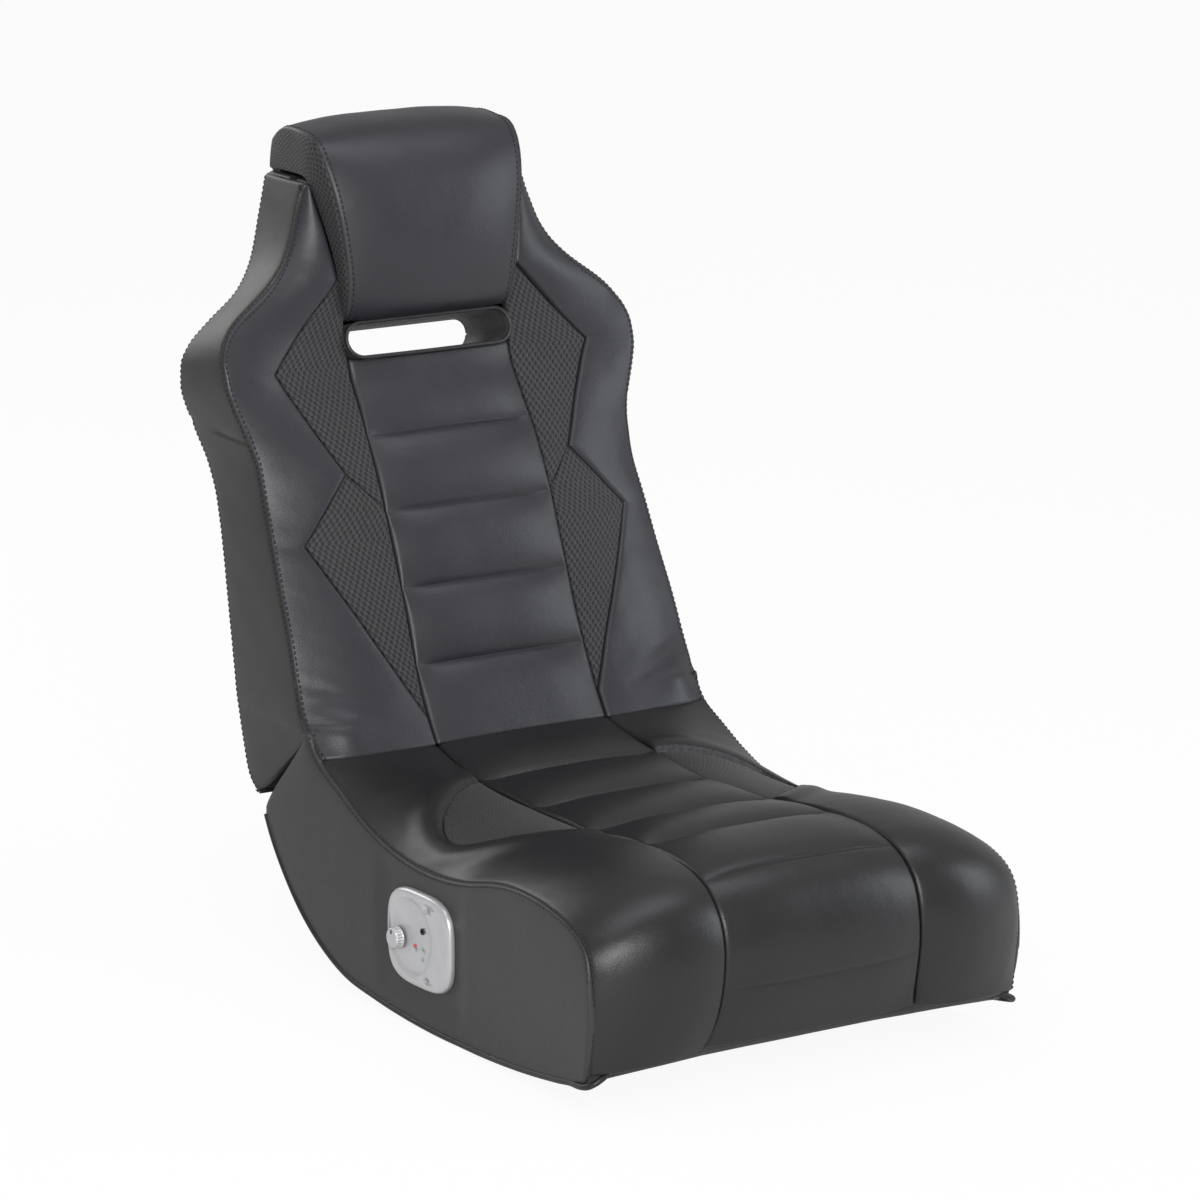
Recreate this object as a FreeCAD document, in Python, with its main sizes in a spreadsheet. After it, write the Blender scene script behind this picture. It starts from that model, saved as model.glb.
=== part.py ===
import FreeCAD, Part
import math
import os

from FreeCAD import Placement, Rotation, Vector

# Folding floor rocker chair. Millimetres, +Z up, the sitter faces -Y and +X is the sitter's left side.
# Outlines are drawn from the crease between seat and backrest: there y = 0, and z = 0 is the floor.
# Every piece is then moved back by shift_y, which brings the middle of the chair's depth to y = 0.

DIMENSIONS = [
    ("shift_y", 121.06, "from the crease to the middle of the depth"),
    ("pivot_y", 11.0, "fold axis, behind the crease"),
    ("pivot_z", 229.0, "fold axis, above the floor"),
    ("seat_top_angle", 184.2, "seat stays below this line from the fold axis"),
    ("seat_mitre_angle", 316.7, "seat stays in front of this line"),
    ("back_front_angle", 77.5, "backrest stays behind this line"),
    ("back_mitre_angle", -38.0, "backrest stays above this line"),
    ("apex_relief", 3.0, "round gap about the fold axis"),
    ("rocker_radius", 1050.0, "curve of the base"),
    ("rocker_low_y", -215.0, "where the base touches the floor"),
    ("rocker_break_y", -55.0, "where the heel curve starts"),
    ("heel_y", 97.0, "rear end of the base"),
    ("heel_z", 136.0, "height of the rear end"),
    ("seam_x", 93.0, "centre seams, half the middle panel's width"),
    ("seam_gap", 0.3, "gap at each side of a seam"),
    ("seat_half", 212.0, "half the seat's width over the side covers"),
    ("cover_thick", 7.0, "padded side cover"),
    ("board_thick", 15.0, "plywood sides"),
    ("board_inner", 189.7, "inner face of the plywood sides"),
    ("deck_z", 88.0, "underside of the seat deck"),
    ("deck_thick", 15.0, "seat deck"),
    ("rail_thick", 15.0, "cross rails"),
    ("crown_power", 2.2, "how late a bolster falls away to its welt"),
    ("seat_crown", 6.0, "rise of the middle panel at its centre"),
    ("channel_puff", 6.0, "swell of the leather between two channels"),
    ("mesh_recess", 3.0, "mesh lies this far below the leather"),
    ("mesh_depth", 12.0, "thickness of a mesh pad"),
    ("welt_radius", 2.2, "piping at the bottom edge"),
    ("welt_lift", 3.0, "piping centre above the base curve"),
    ("glide_radius", 11.0, "front glide"),
    ("glide_height", 5.0, "front glide"),
    ("pad_depth", 21.0, "foam in front of the backrest board"),
    ("back_board_thick", 10.0, "backrest board"),
    ("back_wall", 4.5, "backrest side cover"),
    ("rear_wall", 2.5, "backrest rear cover"),
    ("back_crown", 6.0, "swell of the middle back panel"),
    ("slot_y", 150.0, "hand slot, front end"),
    ("slot_z", 557.0, "hand slot, height of its axis at the front"),
    ("slot_half", 90.0, "half the slot's width"),
    ("slot_rise", 16.5, "half the slot's height"),
    ("slot_lean", 16.0, "fall of the slot towards the rear, degrees"),
    ("liner_wall", 3.0, "slot liner"),
    ("trim_radius", 2.2, "piping round the slot"),
    ("plate_thick", 3.0, "hinge straps"),
    ("strap_width", 20.0, "hinge straps"),
    ("strap_eye", 6.5, "round eye of a hinge strap"),
    ("seat_strap_len", 96.0, "hinge strap on the seat"),
    ("back_strap_len", 118.0, "hinge strap on the backrest"),
    ("pin_radius", 2.5, "hinge pin"),
    ("pin_play", 0.05, "running gap round a pin"),
    ("bolt_radius", 3.0, "hinge bolts"),
    ("bolt_head", 5.5, "hinge bolt heads"),
    ("panel_y", -177.5, "control panel centre"),
    ("panel_z", 85.5, "control panel centre"),
    ("panel_long", 107.0, "control panel along the chair"),
    ("panel_tall", 91.0, "control panel height"),
    ("panel_thick", 6.5, "control panel"),
    ("dish_radius", 37.0, "round dish in the control panel"),
    ("dish_depth", 3.6, "round dish in the control panel"),
    ("case_long", 90.0, "amplifier case"),
    ("case_tall", 84.0, "amplifier case"),
    ("case_deep", 46.0, "amplifier case"),
    ("knob_radius", 10.0, "volume knob"),
    ("knob_length", 7.5, "volume knob"),
    ("shaft_radius", 3.0, "volume shaft"),
    ("jack_radius", 1.8, "audio socket bore"),
    ("speaker_radius", 22.0, "headrest speaker frame"),
    ("speaker_y", 166.0, "headrest speaker centre"),
    ("speaker_z", 655.0, "headrest speaker centre"),
]

SIDES = (("left", 1.0), ("right", -1.0))
FAR = 900.0

doc = FreeCAD.newDocument("rocker_chair")
sheet = doc.addObject("Spreadsheet::Sheet", "Dims")
for row, (alias, value, meaning) in enumerate(DIMENSIONS, start=1):
    sheet.set("A%d" % row, meaning)
    sheet.set("B%d" % row, str(value))
    sheet.setAlias("B%d" % row, alias)
doc.recompute()

subparts = []


def dim(alias):
    return float(sheet.get(alias))


# Outlines: a start point, then steps. A point is a straight edge to it, and a pair of points is an arc
# through the first to the second.

def side_plane(x):
    return lambda a, b: Vector(x, a, b)


def front_plane(y):
    return lambda a, b: Vector(a, y, b)


def plan_plane(z):
    return lambda a, b: Vector(a, b, z)


def curves(outline, plane):
    here = outline[0]
    found = []
    for step in outline[1:]:
        if isinstance(step[0], tuple):
            middle, end = step
            found.append(Part.Arc(plane(*here), plane(*middle), plane(*end)))
        else:
            end = step
            found.append(Part.LineSegment(plane(*here), plane(*end)))
        here = end
    if math.dist(here, outline[0]) > 1e-6:
        found.append(Part.LineSegment(plane(*here), plane(*outline[0])))
    return found


def closed_wire(outline, plane):
    return Part.Wire([curve.toShape() for curve in curves(outline, plane)])


def side_prism(outline, x_low, x_high):
    face = Part.Face(closed_wire(outline, side_plane(x_low)))
    return face.extrude(Vector(x_high - x_low, 0, 0))


def front_prism(outline, y_low, y_high):
    face = Part.Face(closed_wire(outline, front_plane(y_low)))
    return face.extrude(Vector(0, y_high - y_low, 0))


def plan_prism(outline, z_low, z_high):
    face = Part.Face(closed_wire(outline, plan_plane(z_low)))
    return face.extrude(Vector(0, 0, z_high - z_low))


def block(x_low, x_high, y_low, y_high, z_low, z_high):
    return Part.makeBox(x_high - x_low, y_high - y_low, z_high - z_low, Vector(x_low, y_low, z_low))


def lean(outline, by_y, by_z=0.0):
    def moved(point):
        return (point[0] + by_y, point[1] + by_z)
    return [tuple(moved(p) for p in step) if isinstance(step[0], tuple) else moved(step)
            for step in outline]


def backwards(outline):
    points = list(outline)
    turned = []
    ends = [points[0]] + [step[1] if isinstance(step[0], tuple) else step for step in points[1:]]
    turned.append(ends[-1])
    for index in range(len(points) - 1, 0, -1):
        step = points[index]
        target = ends[index - 1]
        turned.append((step[0], target) if isinstance(step[0], tuple) else target)
    return turned


def flipped(outline):
    return [tuple((-p[0], p[1]) for p in step) if isinstance(step[0], tuple) else (-step[0], step[1])
            for step in outline]


def both_halves(half):
    return half + backwards(flipped(half))[1:]


def stadium(half, high):
    end = half - high
    return [(-end, -high), (end, -high), ((half, 0.0), (end, high)), (-end, high), ((-half, 0.0), (-end, -high))]


def mirror_x(shape):
    return shape.mirror(Vector(0, 0, 0), Vector(1, 0, 0))


def sided(shape, side):
    return shape if side > 0 else mirror_x(shape)


def polar(angle, distance):
    turn = math.radians(angle)
    return (dim("pivot_y") + distance * math.cos(turn), dim("pivot_z") + distance * math.sin(turn))


def zone(angle_low, angle_high, corners):
    return side_prism([polar(angle_low, 0.0), polar(angle_low, FAR)] + corners
                      + [polar(angle_high, FAR)], -FAR / 2, FAR / 2)


def pivot_cylinder(radius, x_low, x_high):
    return Part.makeCylinder(radius, x_high - x_low, Vector(x_low, dim("pivot_y"), dim("pivot_z")),
                             Vector(1, 0, 0))


def one_solid(shape):
    solids = sorted(shape.Solids, key=lambda solid: solid.Volume)
    return solids[-1]


def cord_section(centre, along, normal, radius):
    """A six-sided section, so that long piping stays light."""
    side = along.cross(normal)
    corners = []
    for step in range(6):
        turn = math.pi * (step + 0.5) / 3
        corners.append(centre + normal * (radius * math.cos(turn)) + side * (radius * math.sin(turn)))
    return Part.makePolygon(corners + [corners[0]])


def tube(outline, plane, normal, radius):
    """A round cord along an outline of straight edges and arcs in one plane."""
    spans = []
    for curve in curves(outline, plane)[:len(outline) - 1]:
        edge = curve.toShape()
        start = edge.valueAt(edge.FirstParameter)
        along = edge.tangentAt(edge.FirstParameter)
        disc = Part.Face(cord_section(start, along, normal, radius))
        if isinstance(edge.Curve, Part.Circle):
            centre = edge.Curve.Center
            turn = math.degrees(edge.Length / edge.Curve.Radius)
            if (start - centre).cross(along).dot(normal) < 0:
                turn = -turn
            spans.append(disc.revolve(centre, normal, turn))
        else:
            end = edge.valueAt(edge.LastParameter)
            spans.append(disc.extrude(end - start))
    whole = spans[0]
    for span in spans[1:]:
        whole = whole.fuse(span)
    return one_solid(whole)


# Document objects

def place(item, label, x="0", y="0", z="0"):
    item.Label = label
    item.setExpression("Placement.Base.x", x)
    item.setExpression("Placement.Base.y", "Dims.shift_y + " + y)
    item.setExpression("Placement.Base.z", z)
    subparts.append(item)
    return item


def shaped(label, shape):
    item = doc.addObject("Part::Feature", label)
    item.Shape = shape
    item.Placement = Placement(Vector(0, 0, 0), Rotation())
    return place(item, label)


def new_body(name):
    return doc.addObject("PartDesign::Body", name)


def sketch_on(body, role, outline, name):
    sketch = body.newObject("Sketcher::SketchObject", name)
    plane = [f for f in body.Origin.OriginFeatures if f.Role == role][0]
    sketch.AttachmentSupport = (plane, [""])
    sketch.MapMode = "FlatFace"
    for curve in curves(outline, plan_plane(0.0)):
        sketch.addGeometry(curve)
    return sketch


def circle_on(body, role, centre, radius_expression, name):
    sketch = body.newObject("Sketcher::SketchObject", name)
    plane = [f for f in body.Origin.OriginFeatures if f.Role == role][0]
    sketch.AttachmentSupport = (plane, [""])
    sketch.MapMode = "FlatFace"
    index = sketch.addGeometry(Part.Circle(Vector(centre[0], centre[1], 0), Vector(0, 0, 1), 1.0))
    number = sketch.addConstraint(_radius(index, 1.0))
    sketch.setExpression("Constraints[%d]" % number, radius_expression)
    return sketch


def _radius(index, value):
    import Sketcher
    return Sketcher.Constraint("Radius", index, value)


def pad(body, sketch, length, name, reverse=False):
    feature = body.newObject("PartDesign::Pad", name)
    feature.Profile = sketch
    feature.setExpression("Length", length)
    feature.Reversed = reverse
    return feature


def pocket(body, sketch, name, reverse=True):
    feature = body.newObject("PartDesign::Pocket", name)
    feature.Profile = sketch
    feature.Type = "ThroughAll"
    feature.Reversed = reverse
    return feature


# Lines that the whole seat shares

def rocker_z(y):
    radius = dim("rocker_radius")
    return radius - math.sqrt(radius ** 2 - (y - dim("rocker_low_y")) ** 2)


def base_curve(front_y, lift):
    """The base from front to rear: the rocker arc, then the tighter heel arc."""
    start_y = dim("rocker_break_y")
    middle_y = (front_y + start_y) / 2
    heel = (dim("heel_y") - 0.8 * lift, dim("heel_z"))
    return [(front_y, rocker_z(front_y) + lift),
            ((middle_y, rocker_z(middle_y) + lift), (start_y, rocker_z(start_y) + lift)),
            ((31.0 - 0.6 * lift, 55.0 + 0.8 * lift), heel)]


def seat_side_outline(front_y, lift, drop, inset, crop=0.0):
    """Side view of a seat side: base, round heel, mitre up to the fold axis, saddle and front roll.
    Crop takes off the tip below the fold axis."""
    heel_y = dim("heel_y")
    heel_z = dim("heel_z")
    return base_curve(front_y, lift) + [
        ((heel_y - 3.0 - inset, heel_z + 14.0 - inset), (heel_y - 15.0 - inset, heel_z + 25.0 - inset)),
        polar(dim("seat_mitre_angle"), 2.0 + crop),
        (6.0, 220.0 - drop),
        ((-76.0, 169.0 - drop), (-190.0, 146.0 - drop)),
        ((-250.0, 153.0 - drop), (-310.0, 166.5 - drop)),
        ((-364.0, 170.0 - drop), (-412.0 + inset, 160.0 - drop)),
        ((front_y + 8.0, 146.0 - drop), (front_y, 118.0 - drop)),
    ]


def seat_station(x, seam, welt, share):
    """One side view of the seat cushion between its centre seam and its outer welt."""
    points = [(a[0] + (b[0] - a[0]) * share, a[1] + (b[1] - a[1]) * share) for a, b in zip(seam, welt)]
    rear, p1, p2, p3, p4, p5, p6, p7, low = points
    deck = dim("deck_z") + dim("deck_thick") + dim("seam_gap")
    shelf_y = -440.7
    outline = [rear, (p1, p2), (p3, p4), (p5, p6), (p7, low), (shelf_y, low[1]), (shelf_y, deck),
               (rear[0], deck)]
    return closed_wire(outline, side_plane(x))


SEAT_SEAM = [(-1.0, 211.0), (-88.0, 193.0), (-172.0, 187.0), (-264.0, 189.0), (-353.0, 196.0),
             (-414.0, 194.0), (-462.0, 181.0), (-489.0, 120.0), (-468.0, 42.0)]
SEAT_WELT = [(-1.0, 212.5), (-76.0, 169.0), (-190.0, 146.0), (-250.0, 153.0), (-310.0, 166.5),
             (-364.0, 170.0), (-418.0, 158.5), (-447.0, 118.0), (-446.0, 42.0)]
SEAT_CHANNELS = [(-88.0, 193.0), (-170.0, 187.0), (-264.0, 188.0), (-353.0, 195.5)]


def seat_zone():
    return zone(dim("seat_top_angle"), dim("seat_mitre_angle"), [(-FAR, -FAR / 2), (FAR / 2, -FAR)])


def amplifier_pocket(margin):
    half_long = dim("case_long") / 2 + margin
    half_tall = dim("case_tall") / 2 + margin
    return block(-dim("seat_half") - 20.0, -dim("seat_half") + dim("case_deep") + margin,
                 dim("panel_y") - half_long, dim("panel_y") + half_long,
                 dim("panel_z") - half_tall, dim("panel_z") + half_tall)


# Seat frame

def make_side_board(name, side):
    body = new_body("Body_" + name)
    outline = seat_side_outline(-437.0, 1.0, 17.0, 7.0, 14.0)
    sketch = sketch_on(body, "YZ_Plane", outline, name + "_profile")
    pad(body, sketch, "Dims.board_thick", name + "_pad", reverse=side < 0)
    if side < 0:
        half_long = dim("case_long") / 2 + 1.0
        half_tall = dim("case_tall") / 2 + 1.0
        y, z = dim("panel_y"), dim("panel_z")
        hole = [(y - half_long, z - half_tall), (y + half_long, z - half_tall),
                (y + half_long, z + half_tall), (y - half_long, z + half_tall)]
        cut = sketch_on(body, "YZ_Plane", hole, name + "_hole")
        pocket(body, cut, name + "_opening", reverse=False)
    sign = "" if side > 0 else "-"
    return place(body, name, x=sign + "Dims.board_inner")


def make_seat_frame():
    for word, side in SIDES:
        make_side_board("seat_side_board_" + word, side)
    inner = dim("board_inner") - dim("seam_gap")
    rails = (("seat_front_rail", -440.0, 33.0, dim("deck_z") - 0.2, "2 * Dims.rail_thick"),
             ("seat_middle_rail", -262.0, 8.0, dim("deck_z") - 0.2, "Dims.rail_thick"),
             ("seat_rear_rail", 24.0, 103.5, 126.0, "Dims.rail_thick"))
    for label, y_low, z_low, z_high, thick in rails:
        rail = doc.addObject("Part::Box", label)
        rail.Placement = Placement(Vector(0, 0, 0), Rotation())
        rail.setExpression("Length", "2 * (Dims.board_inner - Dims.seam_gap)")
        rail.setExpression("Width", thick)
        rail.Height = z_high - z_low
        place(rail, label, x="-(Dims.board_inner - Dims.seam_gap)", y="(%s)" % y_low, z=str(z_low))
    deck = block(-inner, inner, -440.0, 56.0, dim("deck_z"), dim("deck_z") + dim("deck_thick"))
    deck = deck.cut(amplifier_pocket(1.0))
    shaped("seat_deck", deck)


# Seat cushions

def seat_center_section(x, rise):
    """Side view of the middle panel: the leather swells between the sewn channels."""
    puff = dim("channel_puff")
    rear = (-1.0, 211.0)
    stops = [rear] + SEAT_CHANNELS + [(-451.0, 186.0)]
    steps = []
    for (y1, z1), (y2, z2) in zip(stops, stops[1:]):
        middle = ((y1 + y2) / 2, (z1 + z2) / 2 + puff + rise)
        steps.append((middle, (y2, z2 + rise)))
    deck = dim("deck_z") + dim("deck_thick") + dim("seam_gap")
    outline = [(rear[0], rear[1] + rise)] + steps
    outline += [((-482.0 - rise * 0.6, 152.0 + rise * 0.5), (-485.0 - rise * 0.6, 101.0)),
                ((-482.0 - rise * 0.6, 68.0), (-466.0, 42.0)),
                (-440.7, 42.0), (-440.7, deck), (-1.0, deck)]
    return closed_wire(outline, side_plane(x))


def make_seat_cushions():
    half = dim("seam_x") - dim("seam_gap")
    crown = dim("seat_crown")
    sections = [seat_center_section(x, crown * (1 - (x / half) ** 2))
                for x in (-half, -half / 2, 0.0, half / 2, half)]
    middle = Part.makeLoft(sections, True, True)
    shaped("seat_center_cushion", one_solid(middle.common(seat_zone())))

    start = dim("seam_x") + dim("seam_gap")
    width = dim("seat_half") - start
    power = dim("crown_power")
    stations = []
    for share in (0.0, 0.6, 1.0):
        stations.append(seat_station(start + width * share, SEAT_SEAM, SEAT_WELT, share ** power))
    bolster = Part.makeLoft(stations, True, True)
    gap = dim("seam_gap")
    board = side_prism(seat_side_outline(-437.0 - gap, 1.0, 17.0 - gap, 7.0), dim("board_inner") - gap,
                       dim("seat_half"))
    cover = side_prism(seat_side_outline(-438.0 - gap, 0.0, 3.0 - gap, 0.0),
                       dim("seat_half") - dim("cover_thick") - gap, dim("seat_half") + 5.0)
    bolster = one_solid(bolster.cut(board).cut(cover).common(seat_zone()))
    # Half-moon mesh beside the thighs: its straight edge is the centre seam.
    moon = [(start, -92.0), ((181.0, -178.0), (start, -270.0))]
    inner_moon = [(start + 0.4, -92.6), ((180.6, -178.0), (start + 0.4, -269.4))]
    recess = plan_prism(moon, 100.0, 300.0)
    pad_shape = plan_prism(inner_moon, 100.0, 300.0)
    sunk = bolster.translated(Vector(0, 0, -dim("mesh_recess")))
    under = bolster.translated(Vector(0, 0, -dim("mesh_recess") - dim("mesh_depth")))
    floor_of_recess = bolster.translated(Vector(0, 0, -dim("mesh_recess") - dim("mesh_depth") - 0.3))
    mesh = one_solid(sunk.common(pad_shape).cut(under))
    leather = one_solid(bolster.cut(recess.cut(floor_of_recess)))
    for word, side in SIDES:
        shape = sided(leather, side)
        if side < 0:
            shape = one_solid(shape.cut(amplifier_pocket(1.0)))
        shaped("seat_bolster_" + word, shape)
        shaped("seat_mesh_" + word, sided(mesh, side))


def make_seat_covers():
    outer = dim("seat_half")
    inner = outer - dim("cover_thick")
    cover = side_prism(seat_side_outline(-438.0, 0.0, 3.0, 0.0), inner, outer)
    cover = one_solid(cover.common(seat_zone()).cut(pivot_cylinder(dim("apex_relief"), 0, outer + 1)))
    for word, side in SIDES:
        shape = sided(cover, side)
        if side < 0:
            shape = one_solid(shape.cut(amplifier_pocket(1.0)))
        shaped("seat_side_cover_" + word, shape)

    # Rear cover: a bent panel down the mitre and round the heel.
    reach = dim("board_inner") - dim("seam_gap")
    heel_y, heel_z = dim("heel_y") - 1.0, dim("heel_z")
    top_out = polar(dim("seat_mitre_angle"), 16.0)
    low_out = (heel_y - 15.0, heel_z + 24.0)
    rear = [top_out, low_out, ((heel_y - 3.0, heel_z + 13.0), (heel_y, heel_z)),
            ((heel_y - 12.0, heel_z - 24.0), (heel_y - 27.0, heel_z - 45.0)),
            (heel_y - 32.0, heel_z - 40.0), ((heel_y - 17.0, heel_z - 21.0), (heel_y - 6.0, heel_z - 0.5)),
            ((heel_y - 8.5, heel_z + 9.0), (heel_y - 19.0, heel_z + 19.0)),
            (top_out[0] - 4.2, top_out[1] - 4.4)]
    notch = block(reach - 12.0, reach + 1.0, 0.0, 40.0, 192.0, 235.0)
    shaped("seat_rear_cover", side_prism(rear, -reach, reach).cut(notch).cut(mirror_x(notch)))

    # Dust cover under the seat, from the front rail to the heel.
    lift = 1.5
    upper = base_curve(-436.0, lift + 2.5)
    lower = base_curve(-436.0, lift)
    cloth = side_prism(lower + backwards(upper), -reach, reach)
    limit = side_prism([(-500.0, -20.0), (62.0, -20.0), (62.0, 120.0), (-500.0, 120.0)], -FAR / 2, FAR / 2)
    shaped("seat_dust_cover", one_solid(cloth.common(limit)))

    # Piping along the bottom edge of each side, from the front corner round the heel.
    radius = dim("welt_radius")
    welt = tube(base_curve(-438.0, dim("welt_lift")), side_plane(outer + radius + 0.2), Vector(1, 0, 0),
                radius)
    shaped("seat_bottom_welts", Part.makeCompound([sided(welt, side) for word, side in SIDES]))


def make_glides():
    front_y = -395.0
    top = rocker_z(front_y) - 0.3
    discs = [Part.makeCylinder(dim("glide_radius"), dim("glide_height"),
                               Vector(side * 197.0, front_y, top - dim("glide_height") + 2.0))
             for word, side in SIDES]
    trimmed = [disc.cut(side_prism(seat_side_outline(-500.0, -0.2, 0.0, 0.0), -FAR / 2, FAR / 2))
               for disc in discs]
    shaped("front_glides", Part.makeCompound([one_solid(disc) for disc in trimmed]))


# Backrest lines

def back_front_curve():
    """Side view of the backrest's front edge: straight up the back, then over the shoulder."""
    return [(1.0, 180.0), (111.0, 428.0), ((127.0, 480.0), (136.0, 528.0)),
            ((150.0, 565.0), (157.0, 600.0)), ((170.0, 650.0), (177.0, 707.0))]


def back_rear_curve():
    return [(250.0, 707.0), ((240.0, 645.0), (222.0, 595.0)), (218.5, 505.0),
            ((205.0, 455.0), (186.0, 400.0)), (141.0, 216.0), ((129.0, 180.0), (104.0, 146.0)),
            (60.0, 120.0)]


def back_half_outline():
    """Front view of the backrest's left half: waist, wing, neck."""
    return [(0.0, 100.0), (215.0, 100.0), ((208.5, 320.0), (203.5, 435.0)), ((211.0, 482.0), (224.0, 524.0)),
            ((222.0, 560.0), (207.0, 581.0)), (161.0, 616.0), ((135.0, 655.0), (117.0, 707.0)),
            (115.0, 760.0), (0.0, 760.0)]


def back_side_solid(front_shift=0.0, rear_shift=0.0):
    outline = lean(back_front_curve(), front_shift) + lean(back_rear_curve(), rear_shift)
    return side_prism(outline, -FAR / 2, FAR / 2)


def back_front_solid(inset):
    face_wire = closed_wire(both_halves(back_half_outline()), front_plane(-50.0))
    if inset > 0:
        face_wire = face_wire.makeOffset2D(-inset)
    return Part.Face(face_wire).extrude(Vector(0, 400.0, 0))


def back_zone():
    return zone(dim("back_mitre_angle"), dim("back_front_angle"), [(FAR, FAR)])


def lower_cover_band(grow):
    """The panel on the backrest's mitre face, larger by grow all round."""
    angle = dim("back_mitre_angle")
    near = polar(angle, 22.0 - grow)
    far = polar(angle, 125.0 + grow)
    turn = math.radians(angle + 90.0)
    lift = dim("rear_wall") + grow
    rise = (lift * math.cos(turn), lift * math.sin(turn))
    return side_prism([near, far, (far[0] + rise[0], far[1] + rise[1]),
                       (near[0] + rise[0], near[1] + rise[1])], -FAR / 2, FAR / 2)


def slot_solid(grow):
    """The hand slot: a stadium section run along the slot's axis, larger by grow."""
    half = dim("slot_half") + grow
    high = dim("slot_rise") + grow
    turn = math.radians(dim("slot_lean"))
    reach = 80.0

    def section_plane(a, b):
        return Vector(a, dim("slot_y") - reach * math.cos(turn) + b * math.sin(turn),
                      dim("slot_z") + reach * math.sin(turn) + b * math.cos(turn))

    face = Part.Face(closed_wire(stadium(half, high), section_plane))
    return face.extrude(Vector(0, 3 * reach * math.cos(turn), -3 * reach * math.sin(turn)))


def headrest_plan(grow, low=560.0):
    """Front view of the headrest: it widens a little towards its top."""
    return [(-86.0 - grow, low), (86.0 + grow, low), (108.0 + grow, 735.0),
            ((103.0 + grow, 764.0), (76.0, 790.0)), (-76.0, 790.0),
            ((-103.0 - grow, 764.0), (-108.0 - grow, 735.0))]


# Backrest

BACK_SEAM = [(-13.0, 205.0), (30.0, 289.0), (64.0, 376.0), (103.0, 463.0), (125.0, 497.0),
             (147.0, 531.0), (153.0, 575.0), (161.0, 640.0), (177.0, 709.0)]
BACK_WELT = [(10.5, 205.0), (47.5, 289.0), (86.0, 376.0), (121.0, 463.0), (129.0, 497.0),
             (136.0, 531.0), (153.0, 580.0), (169.0, 640.0), (178.0, 709.0)]
BACK_CHANNELS = [(18.0, 275.0), (49.0, 342.0), (78.0, 410.0), (113.0, 476.0)]


def back_station(x, share, bulge):
    points = [(a[0] + (b[0] - a[0]) * share - bulge, a[1] + (b[1] - a[1]) * share)
              for a, b in zip(BACK_SEAM, BACK_WELT)]
    k0, k1, k2, k3, k4, k5, k6, k7, k8 = points
    outline = [k0, (k1, k2), (k3, k4), (k5, k6), (k7, k8), (270.0, k8[1]), (270.0, k0[1])]
    return closed_wire(outline, side_plane(x))


def pad_room():
    """Where foam may lie: in front of the board."""
    outline = lean(back_front_curve(), -120.0) + backwards(lean(back_front_curve(), dim("pad_depth")))
    return side_prism(outline, -FAR / 2, FAR / 2)


def hinge_pocket():
    """Room for the backrest's hinge strap in the pads and the board."""
    start = polar(-70.0, 18.0)
    turn = 20.0
    end = polar(turn, dim("back_strap_len") + 24.0)
    wide = 16.0
    outline = [(start[0] - 20.0, start[1] - wide), (end[0] + 6.0, end[1] - wide), (end[0], end[1] + wide),
               (start[0] - 20.0, start[1] + 2.4 * wide)]
    shape = side_prism(outline, dim("board_inner") - 11.5, dim("board_inner") + 2.5)
    sweep = pivot_cylinder(dim("strap_eye") + 1.0, dim("board_inner") - 11.5, dim("board_inner") + 2.5)
    shape = shape.fuse(sweep)
    return shape.fuse(mirror_x(shape))


def diamond(points):
    return front_prism(points, -50.0, 260.0)


UPPER_DIAMOND = [(93.3, 412.0), (122.0, 445.0), (170.0, 536.5), (112.0, 606.0), (93.3, 606.0)]
LOWER_DIAMOND = [(93.3, 411.0), (122.0, 444.0), (175.0, 386.0), (93.3, 235.0)]


def make_back_pads():
    start = dim("seam_x") + dim("seam_gap")
    width = 225.0 - start
    stations = []
    for share, bulge in ((0.0, 0.0), (0.35, 3.0), (0.65, 4.0), (1.0, 0.0)):
        stations.append(back_station(start + width * share, share ** 1.6, bulge))
    base = Part.makeLoft(stations, True, True)
    base = base.common(pad_room()).common(back_front_solid(dim("back_wall") + 0.3)).common(back_zone())
    base = base.cut(front_prism(headrest_plan(4.6), -50.0, 300.0)).cut(slot_solid(dim("liner_wall") + 0.3))
    base = one_solid(base.cut(hinge_pocket()).cut(lower_cover_band(0.3)))
    recess, depth = dim("mesh_recess"), dim("mesh_depth")
    sunk = base.translated(Vector(0, recess, 0))
    under = base.translated(Vector(0, recess + depth, 0))
    floor_of_recess = base.translated(Vector(0, recess + depth + 0.3, 0))
    leather = base
    for word, points in (("upper", UPPER_DIAMOND), ("lower", LOWER_DIAMOND)):
        grown = diamond(points)
        wire = closed_wire(points, front_plane(-50.0)).makeOffset2D(-0.4)
        shrunk = Part.Face(wire).extrude(Vector(0, 310.0, 0))
        mesh = one_solid(sunk.common(shrunk).common(pad_room()).cut(under))
        leather = leather.cut(grown.cut(floor_of_recess))
        for side_word, side in SIDES:
            shaped("back_mesh_%s_%s" % (word, side_word), sided(mesh, side))
    for side_word, side in SIDES:
        shaped("back_side_panel_" + side_word, sided(one_solid(leather), side))


def back_center_section(x, rise):
    """Side view of the middle back panel with its sewn channels."""
    puff = dim("channel_puff")
    stops = [(-13.0, 207.0)] + BACK_CHANNELS + [(155.0, 548.0)]
    steps = []
    for (y1, z1), (y2, z2) in zip(stops, stops[1:]):
        middle = ((y1 + y2) / 2 - 0.9 * (puff + rise), (z1 + z2) / 2 + 0.4 * (puff + rise))
        steps.append((middle, (y2 - 0.9 * rise, z2 + 0.4 * rise)))
    outline = [(stops[0][0] - 0.9 * rise, stops[0][1])] + steps + [(250.0, 548.0), (250.0, 207.0)]
    return closed_wire(outline, side_plane(x))


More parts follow.
